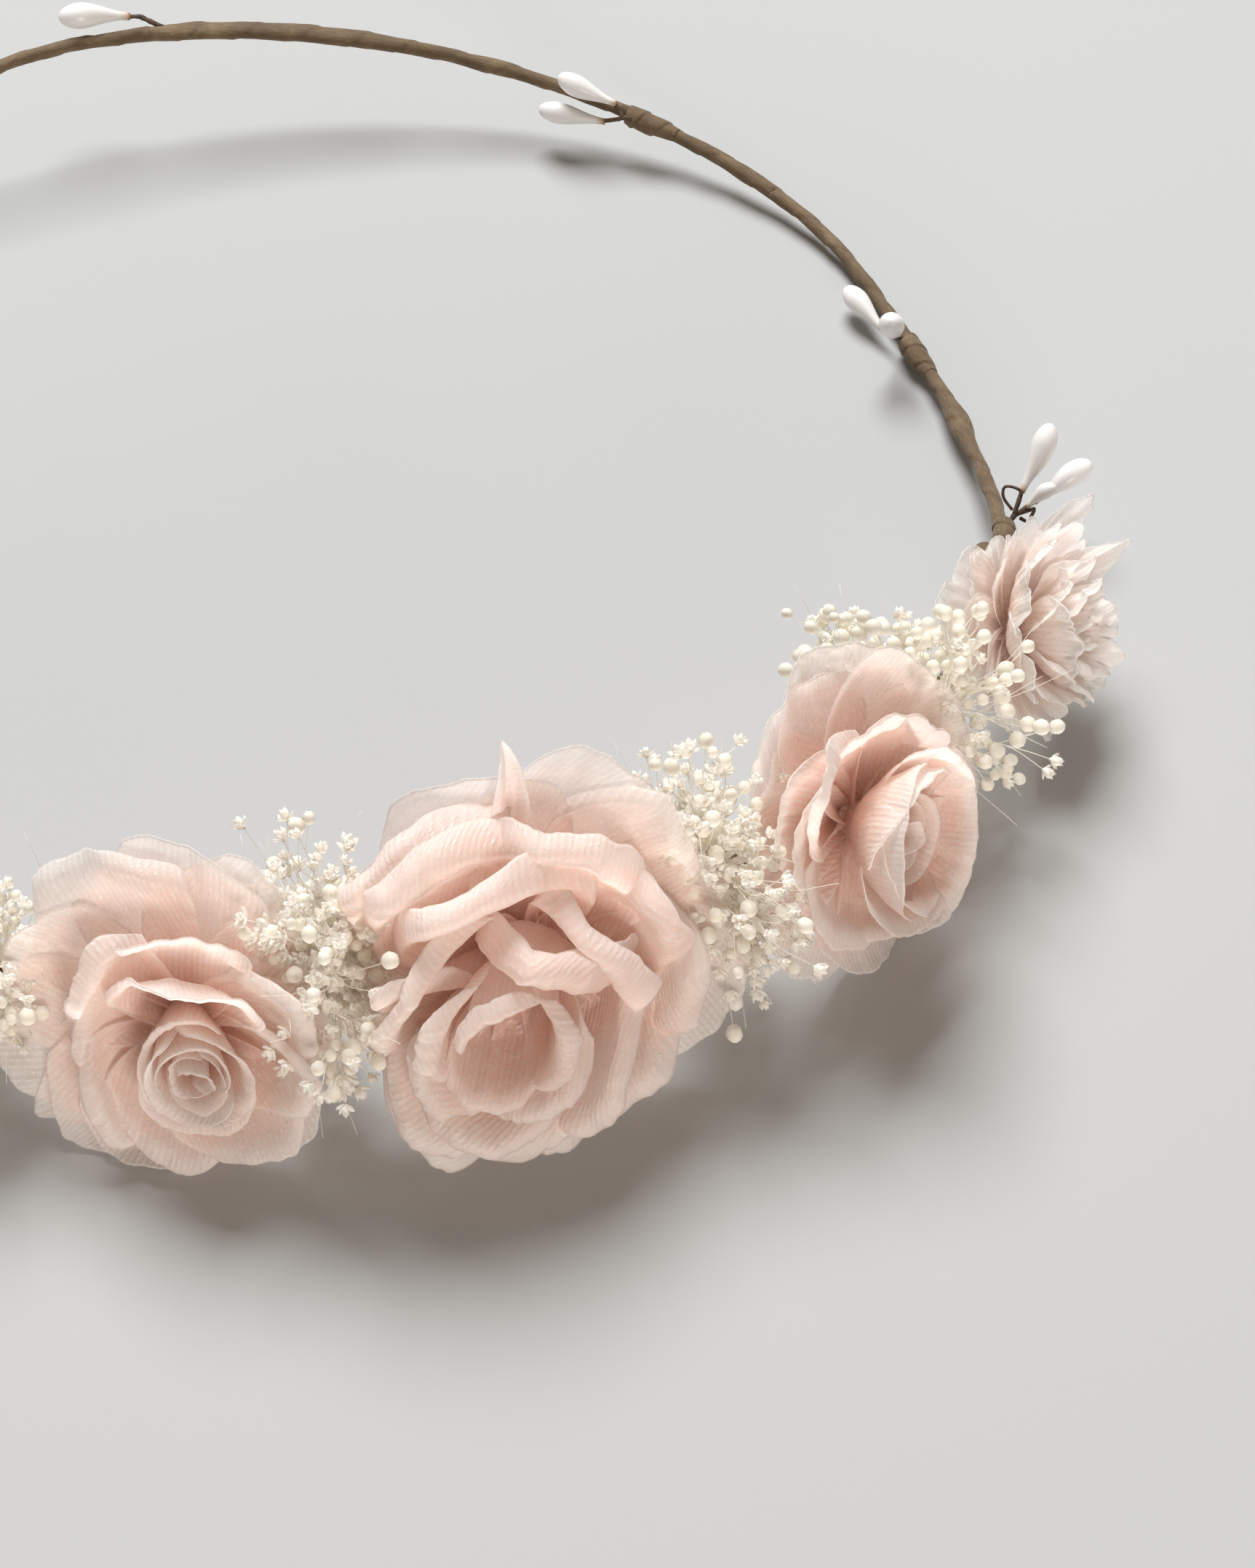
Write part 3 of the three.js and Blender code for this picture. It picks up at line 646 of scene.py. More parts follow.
def add_bud(node, body, seed):
    """A teardrop pip, a little bent and dented."""
    neck, axis, length, radius = bud_line(node)
    side = unit(np.cross(axis, (0.3, 0.1, 1.0)))
    lift = np.cross(axis, side)
    share = np.linspace(0, 1, BUD_RINGS) ** 0.9
    profile = 0.30 + 0.72 * smoothstep(share, 0.0, 0.72) ** 1.15
    profile *= np.sqrt(np.clip(1 - np.clip((share - 0.66) / 0.34, 0, 1) ** 2.1, 0, 1))
    profile[-1] = 0.02
    bend = side * 0.25 * math.sin(seed * 2.3) + lift * 0.25 * math.cos(seed * 1.7)
    centers = neck + np.outer(share * length, axis) + np.outer(np.sin(share * math.pi), bend)
    angles = 2 * np.pi * np.arange(BUD_SIDES)[None] / BUD_SIDES
    dents = noise_grid(np.cos(angles) * 1.2, np.sin(angles) * 1.2, share[:, None] * 2.5 + seed)
    size = radius * profile[:, None] * (1 + 0.035 * dents)
    Builder().tube(centers, side, lift, size, size * 0.96, BUD_SIDES, np.repeat(share, BUD_SIDES)).piece(
        f"{node}_pip", "bud_lacquer", body, "bud_lacquer", [node])


def add_root(body, root, heading):
    """The fixed end of a sprig's wire, from the tape up to where the sprig bends."""
    centre, _, outward, upward = HOOP.frame(angles_of((root - heading * ROOT_RUN)[None])[0])
    buried = centre + 0.3 * outward + 0.3 * upward
    Builder().wire([buried, 0.45 * buried + 0.55 * root, root], ROOT_RADIUS, 14, 10, 5.0).piece(
        f"{body}_root", "stem_wire", "crown", "stem_wire")


def add_sprig(body, root, seed):
    """Buds, their wires and, on an end sprig, the stray loops of brown wire at its foot."""
    nodes = BODIES[body]
    buds = [n for n in nodes if "_bud" in n]
    for i, node in enumerate(buds):
        add_bud(node, body, seed + i)
    lines = {n: bud_line(n)[:2] for n in buds}
    pair = [lines[n] for n in buds if n[-2:] in ("_a", "_b")]
    wires = Builder()
    if pair:
        (neck_a, axis_a), (neck_b, axis_b) = pair
        wires.wire([neck_a + axis_a * WIRE_IN_BUD, neck_a * 0.55 + root * 0.45, root,
                    neck_b * 0.55 + root * 0.45, neck_b + axis_b * WIRE_IN_BUD], PAIR_RADIUS, 30, 10, seed)
    else:
        neck, axis = lines[buds[0]]
        wires.wire([root - axis * 0.3, root, neck + axis * WIRE_IN_BUD], SINGLE_RADIUS, 12, 10, seed)
    wires.piece(f"{body}_wires", "stem_wire", body, "stem_wire", [f"{body}_stem"])
    add_root(body, root, unit(sum(axis for _, axis in lines.values())))
    short = f"{body}_short_stem"
    if short in nodes:
        neck, out = lines[f"{body}_short_bud"]
        tangle = Builder()
        tangle.wire([root + (0.2, 0.1, 0.3), node_points(short).mean(0), neck + out * 0.4],
                    SHORT_RADIUS, 14, 10, 4.0)
        tangle.wire([root, root + out * 1.5 + (0, 1.2, 1.6), root + (-0.4, 2.4, 2.9),
                     root + (-1.0, 1.6, 2.0), root + (-0.2, 0.4, 0.6)], 0.2, 24, 8, 6.0)
        tangle.wire([root, root + out * 2.2 - (0, 0.6, 0.4), root + out * 3.2 - (0, 0.2, 1.5),
                     root + out * 2.0 - (0, 0.6, 2.1), root + out * 0.8 - (0, 0.3, 0.9)], 0.24, 24, 8, 8.0)
        tangle.piece(f"{body}_tangle", "stem_wire", body, "stem_wire", [short])


# ---------------------------------------------------------------- petals

CLOTH = 0.13  # thickness of the crepe
PETAL_COLUMNS, PETAL_ROWS = 37, 44
FLOOR_CLEARANCE = 0.25  # cloth that would pass through the table is bent up to just above it
FLOOR_BAND = 3.0  # height below which that bending begins
KNOT_MIDDLE, KNOT_HALF, KNOT_RADIUS = 2.3, 2.2, 1.75  # middle's height above the foot, half-length, radius
KNOT_RINGS, KNOT_SIDES = 18, 36
STEM_ROOT, STEM_TOP, STEM_RADIUS = 1.2, 1.0, 0.7  # reach below and above the flower's foot, radius
STEM_RINGS, STEM_SIDES = 16, 14


def flower_frame(flower):
    """Foot of a flower, and a matrix whose columns are its right, its up and the way it faces."""
    stem = node_points(f"{flower}_stem")
    middle, axis = main_axis(stem)
    if np.dot(axis, middle - HUB_MM * (1, 1, 0)) < 0:
        axis = -axis
    foot = middle + axis * ((stem - middle) @ axis).min()
    up = unit(np.array((0, 0, 1.0)) - axis * axis[2])
    return foot, np.stack([np.cross(up, axis), up, axis], axis=1)


def midline(start, tip, leave, arrive, extra):
    """Length of a petal's middle line, and its direction by distance run.

    The line goes from start to tip in the plane (reach, rise). leave and arrive are degrees from the
    flower's axis; it runs on straight past the tip by extra.
    """
    start, tip = np.array(start, float), np.array(tip, float)
    handle = 0.4 * np.linalg.norm(tip - start)
    p1 = start + handle * np.array([math.sin(math.radians(leave)), math.cos(math.radians(leave))])
    p2 = tip - handle * np.array([math.sin(math.radians(arrive)), math.cos(math.radians(arrive))])
    t = np.linspace(0, 1, 60)[:, None]
    line = (1 - t)**3 * start + 3 * (1 - t)**2 * t * p1 + 3 * (1 - t) * t**2 * p2 + t**3 * tip
    steps = np.diff(line, axis=0)
    run = np.concatenate([[0], np.cumsum(np.linalg.norm(steps, axis=1))])
    return run[-1] + extra, (run[1:] + run[:-1]) / 2, np.arctan2(steps[:, 0], steps[:, 1])


def turned(x, y, degrees):
    """Plane coordinates turned about the origin."""
    a = math.radians(degrees)
    return x * math.cos(a) - y * math.sin(a), x * math.sin(a) + y * math.cos(a)


def petal(theta, reach, rise, width, leave=80, arrive=30, start=(1.5, 0.5), wrap=0.6, cup=0.0, roll=0.0,
          lip=5.0, corner=0.32, point=3.0, lobes=0, wave=1.0, spiral=0.0, fold=0.0, turn=0.0, grain=None,
          seed=0.0, foot=0.42, pleat=0.14, centre=(0.0, 0.0)):
    """One petal as grids (rows along, columns across): points in the flower's frame, tone, weave and size.

    theta is its direction, counterclockwise from the flower's right. Its middle leaves the foot at start
    and reaches the rim at (reach, rise). wrap bends it round the flower's axis (1 is a full circle's curve)
    and cup bends it by a fixed curvature. roll curls the last lip millimetres outward, spiral draws one
    side in, fold creases it along the middle, and turn swings it sideways on its foot. corner and point
    shape the rim's ends, lobes scallops it, foot is the share of the width at the foot, and wave and
    pleat set the unevenness. grain turns the weave. centre is the flower's middle at the rim's height.
    """
    u = np.linspace(-1, 1, PETAL_COLUMNS)[None, :]
    v = np.linspace(0, 1, PETAL_ROWS)[:, None]
    length, run, angles = midline(start, (reach, rise), leave, arrive, 0.55 * lip * (roll > 60))

    top = 1 - corner * np.abs(u) ** point
    if lobes:
        scallop = np.abs(np.sin(lobes * math.pi * (u + 1) / 2)) ** 0.55
        top = top * (1 - 0.15 * (1 - scallop))
    fray = 0.018 * noise_grid(u * 9.0, seed, 2.0) + 0.06 * noise_grid(u * 1.9, seed, 5.0)
    column = length * (top + fray)
    s = v * column
    t = s / length
    from_rim = column - s

    uneven = (1 + 0.45 * noise_grid(u * 1.3, seed * 2.1, 7.0)) * (1 - 0.4 * u**4)
    lip_here = lip * (1 + 0.35 * noise_grid(u * 1.1, seed * 1.7, 11.0))
    tilt = np.interp(s, run, angles)
    total = tilt + np.radians(roll) * uneven * smoothstep(1 - from_rim / lip_here)
    middle_angle = (total[1:] + total[:-1]) / 2
    step = column / (PETAL_ROWS - 1)
    zero = np.zeros((1, PETAL_COLUMNS))
    out = start[0] + np.concatenate([zero, np.cumsum(np.sin(middle_angle) * step, axis=0)])
    high = start[1] + np.concatenate([zero, np.cumsum(np.cos(middle_angle) * step, axis=0)])

    half_width = width / 2 * (foot + (1 - foot) * np.sin(np.clip(t / 0.65, 0, 1) * math.pi / 2))
    across = u * half_width
    radius = np.interp(s, run, start[0] + np.cumsum(np.sin(angles)) * (run[1] - run[0]))
    bend = np.clip(cup + wrap / np.maximum(radius, 1.5), 1e-4, 2.5 / half_width)
    grow = np.clip(t, 0, 1.1) ** 1.5
    inward = (1 - np.cos(bend * across)) / bend + spiral * u * grow + fold * grow * np.abs(u)
    inward = inward + wave * grow * (1.9 * noise_grid(u * 1.25, t * 0.9, seed * 3.3)
                                     + 0.55 * noise_grid(u * 3.6, t * 1.6, seed * 4.7))
    inward = inward + pleat * np.sqrt(t) * 1.6 * noise_grid(u * 8.5, t * 1.2, seed * 6.1)
    inward = inward + 0.10 * noise_grid(across * 0.8, s * 0.8, seed * 2.9)
    y = np.sin(bend * across) / bend + 0.6 * wave * grow * noise_grid(u * 1.6, t * 1.1, seed * 8.3)

    x, y = turned(out - np.cos(tilt) * inward - start[0], y, turn)
    x, y = turned(x + start[0], y, theta)
    shift = np.clip(high / max(rise, 1.0), 0, 1.15)
    points = np.stack([x + centre[0] * shift, y + centre[1] * shift, high + np.sin(tilt) * inward], axis=-1)

    # Paler towards the rim and sides, deeper at the foot: partly the cloth's own blush, partly painted light on
    # the rims and painted shade deep in the flower.
    edge = 1 - smoothstep(np.minimum(from_rim, (1 - np.abs(u)) * half_width * 1.2 + 0.3), 0.0, 3.0)
    tone = np.clip(0.25 + 0.45 * t**1.2 + 0.45 * edge * t, 0, 1)
    weave_x, weave_y = turned(across, s, 62 + 30 * math.sin(seed * 12.9) if grain is None else grain)
    return points, tone, np.stack([weave_x + 13 * seed, weave_y + 7 * seed], axis=-1), (width, length)


def sheet_area(points):
    """Area in square millimetres of a grid of points."""
    a, b, c, d = points[:-1, :-1], points[:-1, 1:], points[1:, 1:], points[1:, :-1]
    return sum(0.5 * np.linalg.norm(np.cross(p - a, q - a), axis=-1).sum() for p, q in ((b, c), (c, d)))


def above_floor(heights):
    """Heights with the part below FLOOR_BAND eased to stay above the table."""
    soft = FLOOR_BAND - FLOOR_CLEARANCE
    depth = (heights - FLOOR_BAND) / soft
    return np.where(depth < 0, FLOOR_CLEARANCE + soft * np.exp(np.minimum(depth, 0)), heights)


def add_petal_layer(flower, suffix, petals, material, slot):
    """One layer of a flower: its petals as one sheet piece, standing for the CAD layer of that name."""
    foot, turn = flower_frame(flower)
    builder = Builder()
    area, widest, longest = 0.0, 0.0, 0.0
    for index, spec in enumerate(petals):
        seed = 0.37 * index + 0.11 * len(suffix) + 0.013 * spec["theta"]
        points, tone, weave, size = petal(seed=seed, **spec)
        area += sheet_area(points)
        widest, longest = max(widest, size[0]), max(longest, size[1])
        world = foot + points @ turn.T
        world[..., 2] = above_floor(world[..., 2])
        builder.add(world, grid_faces(*points.shape[:2]), tone, weave)
    piece = builder.piece(f"{flower}_{suffix}_cloth", material, "crown", slot, [f"{flower}_{suffix}"])
    shell = piece.modifiers.new("cloth_thickness", "SOLIDIFY")
    shell.thickness = CLOTH * MM
    shell.offset = 0.0


def add_heart_knot(flower, slot):
    """The gathered feet of the petals: a ribbed knot of cloth on the end of the stem."""
    foot, turn = flower_frame(flower)
    steps = np.linspace(-1, 1, KNOT_RINGS)
    rise = KNOT_MIDDLE + KNOT_HALF * steps
    angle = 2 * np.pi * np.arange(KNOT_SIDES) / KNOT_SIDES
    radius = KNOT_RADIUS * np.sqrt(np.clip(1 - np.abs(steps) ** 2.4, 0.0004, 1))
    size = radius[:, None] * (1 + 0.09 * np.cos(9 * angle + 1.5 * steps[:, None]))
    Builder().tube(
        foot + np.outer(rise, turn[:, 2]), turn[:, 0], turn[:, 1], size, size, KNOT_SIDES,
        0.25, wrap_weave(rise, KNOT_SIDES, 2 * math.pi * KNOT_RADIUS)
    ).piece(f"{flower}_knot", slot, "crown", slot)


def add_stem(flower):
    """Paper-wound wire that carries a flower, cut off under its lowest petals."""
    foot, turn = flower_frame(flower)
    rise = np.linspace(-STEM_ROOT, STEM_TOP, STEM_RINGS)
    extra, lap_shade = wrap_surface(rise, STEM_SIDES, *STEM_WINDING)
    size = STEM_RADIUS + extra
    Builder().tube(
        foot + np.outer(rise, turn[:, 2]), turn[:, 0], turn[:, 1], size, size, STEM_SIDES,
        lap_shade, wrap_weave(rise, STEM_SIDES, STEM_GIRTH)).tape(f"{flower}_stem")


# ---------------------------------------------------------------- the flowers, petal by petal


COLUMNS = "theta", "reach", "rise", "width", "arrive"


def row_of(style, *rows, **common):
    """Petals of one style, from rows of four or all of the COLUMNS, then any other changes."""
    petals = []
    for row in rows:
        changes = row[-1] if isinstance(row[-1], dict) else {}
        numbers = [value for value in row if value is not changes]
        petals.append({**style, **common, **dict(zip(COLUMNS, numbers)), **changes})
    return petals


def ring_of(style, count, first, **common):
    """Petals of one style spaced round a circle, with a little repeatable unevenness."""
    petals = []
    for i in range(count):
        wobble = first * 0.137 + i * 0.731
        spec = {**style, **common}
        spec["theta"] = first + 360 * i / count + 8 * math.sin(wobble * 17)
        spec["reach"] *= 1 + 0.07 * math.sin(wobble * 29)
        spec["rise"] *= 1 + 0.09 * math.sin(wobble * 11)
        spec["width"] *= 1 + 0.10 * math.sin(wobble * 23)
        petals.append(spec)
    return petals


def jelly_roll(count, first, inner_radius, step, rise, start_rise, hand, centre):
    """Thin upright strips wound one round the other, for a rose's heart."""
    strips = []
    for i in range(count):
        radius = inner_radius + step * i
        strips.append(dict(
            theta=first + 137 * i * hand, reach=radius, rise=rise - 0.35 * i + 0.6 * math.sin(5 * i),
            width=min(3.6 * radius + 2, 17), leave=20, arrive=3 + 2.5 * i, start=(radius * 0.55, start_rise),
            wrap=1.0, roll=40 + 6 * i, lip=1.6, corner=0.14, wave=0.3, spiral=0.6 * hand, foot=0.85,
            pleat=0.1, grain=84, centre=centre))
    return strips


# Styles: flat outer petals, petals with a thick rolled lip, and petals wound close round the heart.
SHEER = dict(leave=84, arrive=62, wrap=0.35, roll=0, wave=1.5, corner=0.36, point=2.6)
LIPPED = dict(leave=74, arrive=14, wrap=0.75, roll=165, lip=6.0, wave=0.8, corner=0.36, point=2.4,
              start=(1.5, 2.0))
WOUND = dict(leave=50, arrive=2, wrap=0.95, roll=135, lip=4.0, wave=0.35, corner=0.2, foot=0.6,
             start=(1.2, 4.0))


def front_rose():
    """Petal layers of the large rose, whose heart leans to its lower left."""
    outer = row_of(
        SHEER,
        (112, 22.0, 1.5, 24, 84), (58, 23.0, 1.5, 26, 86), (36, 20.5, 5.0, 21, 55, dict(roll=70, lip=3.5)),
        (2, 22.0, 4.0, 22, 70), (-27, 24.5, 4.0, 25, 66), (-62, 18.0, 6.0, 22, 54),
        (-98, 15.8, 7.0, 22, 48), (222, 20.5, 5.0, 24, 62), (180, 22.5, 4.5, 23, 66),
        (146, 22.0, 4.0, 22, 70))
    tilt_middle, tilt_inner = (-3.5, -2.4), (-6.0, -4.0)
    middle = row_of(
        LIPPED,
        (128, 20.5, 9.5, 23, dict(spiral=-1.5)), (121, 18.5, 12.5, 22, dict(spiral=-1.0)),
        (66, 17.0, 11.5, 23, dict(roll=150)),
        (14, 17.0, 12.5, 23, dict(roll=185, point=1.4, corner=0.45, spiral=2.0, lip=6.5)),
        (-14, 17.5, 11.0, 20, dict(roll=130)), (-50, 16.5, 11.0, 22, dict(roll=110)),
        (-88, 15.8, 11.5, 23, dict(roll=95, lip=4.5)), (-126, 16.5, 11.5, 22, dict(roll=95, lip=4.5)),
        (95, 4.2, 15.5, 13, dict(centre=(-16.5, -0.5), wrap=1.0, roll=120, lip=4.0, leave=20, arrive=0)),
        (73, 29.5, 4.5, 7.5, dict(roll=0, lip=0.1, fold=3.2, wrap=0.0, point=1.3, corner=0.7,
                                  wave=1.2, leave=60, arrive=70, turn=12)), centre=tilt_middle)
    inner = row_of(
        LIPPED,
        (98, 15.5, 16.0, 25, 8, dict(spiral=1.5)), (24, 13.0, 16.0, 22, 8, dict(spiral=1.5)),
        (50, 8.0, 18.7, 20, 4, dict(spiral=3.0, lip=8.5, roll=195)),
        (152, 11.5, 17.0, 20, 2, dict(spiral=-1.5, lip=4.5, roll=125)),
        (232, 12.4, 15.5, 21, 10, dict(lip=4.5, roll=110)),
        (276, 12.8, 15.0, 23, 12, dict(lip=4.5, roll=110)),
        (318, 12.5, 16.0, 22, 8, dict(lip=5.0, roll=120)),
        (258, 10.5, 17.0, 20, 4, dict(lip=4.0, roll=120)), centre=tilt_inner)
    heart = row_of(
        WOUND,
        (116, 4.6, 18.6, 13, dict(roll=150)), (345, 5.4, 18.2, 14, dict(roll=165, lip=5.0, spiral=1.0)),
        (250, 5.6, 17.4, 15, dict(roll=140)), (160, 7.4, 18.2, 13, dict(roll=120)),
        (205, 8.4, 17.2, 14, dict(roll=130)),
        (300, 7.8, 17.0, 15, dict(roll=120)), centre=tilt_inner)
    return dict(petals_outer=outer, petals_middle=middle, petals_inner=inner, heart=heart)


def left_rose():
    """Petal layers of the rose on the left, with a tightly wound heart."""
    shift = (4.0, -1.6)
    outer = row_of(
        SHEER,
        (128, 20.0, 3.0, 22, 76, dict(roll=80, lip=4.0)), (97, 20.5, 1.0, 22, 84), (66, 19.5, 1.0, 20, 84),
        (28, 17.0, 3.0, 18), (-8, 16.5, 5.0, 18), (-44, 18.0, 7.0, 20), (-98, 19.0, 7.0, 19, 50),
        (-122, 19.5, 6.5, 19, 54), (222, 20.5, 5.0, 15, 60, dict(point=1.5, corner=0.5)),
        (196, 22.0, 4.0, 20, 66),
        (165, 20.0, 4.0, 19), grain=78)
    inner = row_of(
        LIPPED,
        (150, 14.5, 8.0, 17, dict(roll=90, fold=1.8, lip=4.0)),
        (104, 14.5, 8.5, 20, 30, dict(roll=30, lip=3.0)),
        (92, 9.5, 13.0, 20, -14, dict(roll=60, lip=3.0, spiral=-2.0)),
        (30, 12.0, 10.5, 14, dict(roll=110, lip=3.0)),
        (-4, 11.0, 12.0, 13, dict(roll=110, lip=3.2, cup=0.1)),
        (-52, 13.0, 10.5, 18, 34, dict(roll=50, lip=3.0)),
        (-104, 13.5, 10.0, 17, 34, dict(roll=50, lip=3.0)),
        (-140, 13.5, 9.5, 15, 30, dict(roll=70, lip=3.0)), (190, 13.5, 9.0, 16, 30, dict(roll=60, lip=3.0)),
        wave=1.0, centre=shift, grain=82)
    heart = jelly_roll(8, 40, 1.7, 0.72, 13.5, 3.0, 1, shift)
    return dict(petals_outer=outer, petals_inner=inner, heart=heart)


def right_rose():
    """Petal layers of the rose on the right, turned towards the side."""
    shift = (-4.0, 3.0)
    outer = row_of(
        SHEER,
        (75, 20.5, 3.0, 24, 70), (104, 19.5, 1.5, 22, 76), (48, 19.0, 6.0, 22, 56), (12, 18.0, 6.0, 20),
        (-24, 18.0, 6.0, 20), (-62, 18.0, 6.0, 20), (-104, 18.5, 5.0, 20, 60), (216, 19.5, 3.0, 20, 70),
        (178, 18.5, 2.5, 20, 70),
        (142, 17.5, 2.0, 20, 74), grain=80)
    inner = row_of(
        LIPPED,
        (140, 14.5, 6.5, 17, 44, dict(roll=30, lip=2.5, fold=1.0)),
        (158, 13.0, 9.0, 15, 36, dict(roll=35, lip=2.5, fold=1.0)),
        (118, 12.0, 11.0, 16, dict(roll=90, lip=4.0, arrive=26, spiral=2.0)),
        (80, 12.5, 12.5, 19, dict(roll=40, lip=3.0)), (32, 13.0, 12.0, 19, dict(roll=40, lip=3.0)),
        (-12, 13.0, 12.5, 18, dict(roll=60, lip=3.0)), (-56, 12.5, 12.0, 18, dict(roll=60, lip=3.0)),
        (-100, 12.5, 11.0, 18, dict(roll=50, lip=3.0)),
        (212, 12.5, 11.5, 19, dict(roll=60, lip=3.5)), centre=shift, grain=84)
    heart = row_of(
        WOUND,
        (142, 7.5, 19.5, 25, -12, dict(roll=20, lip=3.0, spiral=1.5)),
        (95, 7.5, 18.5, 20, -14, dict(roll=25, lip=3.0)), (202, 7.0, 18.5, 20, -10, dict(roll=25, lip=3.0)),
        (30, 10.0, 16.5, 18, 14, dict(roll=30, lip=3.0)), (-22, 10.0, 16.0, 21, 20, dict(roll=25, lip=3.0)),
        (-72, 10.0, 16.5, 19, 18, dict(roll=30, lip=3.0)),
        (-122, 9.5, 16.5, 18, 12, dict(roll=30, lip=3.0)), centre=shift, grain=86)
    heart += jelly_roll(4, 10, 1.7, 1.1, 15.0, 4.0, -1, shift)
    return dict(petals_outer=outer, petals_inner=inner, heart=heart)


def blossom(hand):
    """Petal layers of a small ruffled flower; hand is 1 on the crown's right, -1 for its mirror image."""
    scalloped = dict(leave=86, arrive=74, wrap=0.5, roll=0, wave=1.1, corner=0.34, point=2.2, lobes=3,
                     foot=0.3, start=(1.0, 0.5), pleat=0.3, grain=88)
    pointed = dict(scalloped, point=1.2, corner=0.62, lobes=0, fold=1.5)
    raised = (1.0, 2.0)  # where the upper petals start
    outer = row_of(
        scalloped,
        (125, 19.5, 0.8, 16), (98, 14.5, 2.0, 14), (152, 16.5, 1.5, 15), (184, 14.0, 3.0, 14),
        (208, 14.0, 3.5, 15), (233, 13.5, 5.0, 15, 64), (262, 12.0, 5.5, 15, 58),
        (298, 13.0, 5.0, 14, 58), (334, 15.0, 5.0, 14, 60),
        (52, 13.0, 5.0, 13, 58), (76, 12.5, 3.5, 13, 64))
    outer += row_of(pointed, (15, 19.5, 7.5, 12, 56))
    inner = row_of(
        scalloped,
        (34, 13.0, 9.5, 12), (80, 11.5, 9.0, 13), (122, 12.0, 8.0, 14), (166, 11.5, 8.5, 13),
        (206, 10.5, 9.0, 13), (240, 9.5, 10.0, 13), (278, 9.5, 10.5, 13), (318, 10.5, 11.0, 12),
        arrive=42, start=raised)
    inner += row_of(pointed, (358, 16.0, 12.5, 10, 40, dict(start=raised)))
    inner += ring_of(scalloped, 6, 40, reach=7.8, rise=12.2, width=10.5, leave=60, arrive=26,
                     start=(0.8, 2.6), roll=40, lip=2.5)
    inner += ring_of(scalloped, 5, 60, reach=4.6, rise=13.4, width=8.5, leave=40, arrive=14,
                     start=(0.6, 3.0), roll=60, lip=2.5)
    inner += ring_of(scalloped, 3, 80, reach=2.0, rise=12.6, width=5.5, leave=16, arrive=4,
                     start=(0.3, 3.3), roll=40, lip=1.5)
    if hand < 0:
        for spec in outer + inner:
            spec["theta"] = 180 - spec["theta"]
    return dict(petals_outer=outer, petals_inner=inner)


def add_flower(flower, layers):
    """All the cloth of a flower; its lowest petals are the sheerest."""
    kind = flower.split("_")[0]
    for suffix, petals in layers.items():
        look = f"{kind}_sheer" if suffix == "petals_outer" else f"{kind}_fabric"
        add_petal_layer(flower, suffix, petals, look, f"{kind}_fabric")


# ---------------------------------------------------------------- gypsophila

OPEN_PETALS = 7
PETAL_SHAPE = np.array([0.42, 0.14, 0.72])  # half-width, half-thickness, half-length by the floret's size
STEM_FOOT = 4.0  # how far along the hoop the stems of a spray spread at their feet
LOWEST_TIP, LOWEST_FLORET = 2.0, 1.5  # heights above the table
BRANCH_SPREAD = 1.7
STALK, TWIG, WISP = 0.11, 0.07, 0.05  # radii of hair stems

# Sprays: CAD node, stems, share of opened florets, seed, then how the spray is moved from its CAD body and
# how it is widened; both run along the hoop, outward and up.
SPRAYS = (
    ("gypsophila_left", 60, 0.5, 11, (0, 1.0, 1.0), (1.0, 1.15, 1.15)),
    ("gypsophila_front_left", 96, 0.75, 12, (0, 0, 1.0), (0.95, 1.15, 1.2)),
    ("gypsophila_front_right", 100, 0.7, 13, (0, 0, 1.0), (0.95, 1.15, 1.2)),
    ("gypsophila_right", 84, 0.15, 14, (-1.0, -3.0, 2.5), (1.05, 1.2, 1.25)),
)


def unit_ball(subdivisions):
    """Points and faces of a ball of radius 1."""
    ball = bmesh.new()
    bmesh.ops.create_icosphere(ball, subdivisions=subdivisions, radius=1.0)
    points = np.array([v.co for v in ball.verts])
    faces = [tuple(v.index for v in f.verts) for f in ball.faces]
    ball.free()
    return points, faces


BALL = unit_ball(2)
PETAL_BALL = unit_ball(1)


def aim_matrix(direction):
    return np.array(Vector(direction).to_track_quat("Z", "Y").to_matrix())


def add_round_floret(builder, place, direction, size, seed):
    """A closed floret: a ball drawn out to a small tip, with shallow flutes."""
    points = BALL[0].copy()
    angle = np.arctan2(points[:, 1], points[:, 0])
    points[:, :2] *= (1 + 0.06 * np.cos(5 * angle + seed) * (1 - points[:, 2] ** 2))[:, None]
    high = points[:, 2]
    points[:, 2] = np.where(high > 0.7, high + 0.5 * (high - 0.7), high * 1.12)
    builder.add(place + (points * size) @ aim_matrix(direction).T, BALL[1])


def add_open_floret(builder, place, direction, size, rng):
    """An opened floret: small cupped petals in two whorls round a tight centre."""
    turn = aim_matrix(direction)
    for i in range(OPEN_PETALS):
        around = i * 2.4 + rng.uniform(-0.3, 0.3)
        flare = (0.35 if i >= OPEN_PETALS // 2 else 0.95) + rng.uniform(-0.15, 0.2)
        lie = np.array([*turned(math.sin(flare), 0, math.degrees(around)), math.cos(flare)])
        blade = PETAL_BALL[0] * PETAL_SHAPE * size
        blade[:, 1] += 0.30 * blade[:, 0] ** 2 / size + 0.22 * (blade[:, 2] / size) ** 2 * size
        builder.add(place + (blade @ aim_matrix(lie).T + lie * 0.55 * size) @ turn.T, PETAL_BALL[1])


def add_hair(builder, start, end, sag, radius, knots=8):
    """A fine stem that thins towards its end, its middle moved by sag."""
    path = smooth_path([start, (start + end) / 2 + sag, end], knots)
    taper = np.linspace(1.0, 0.7, knots) * radius
    builder.tube(path, *carried_sides(path), taper, taper, 5)


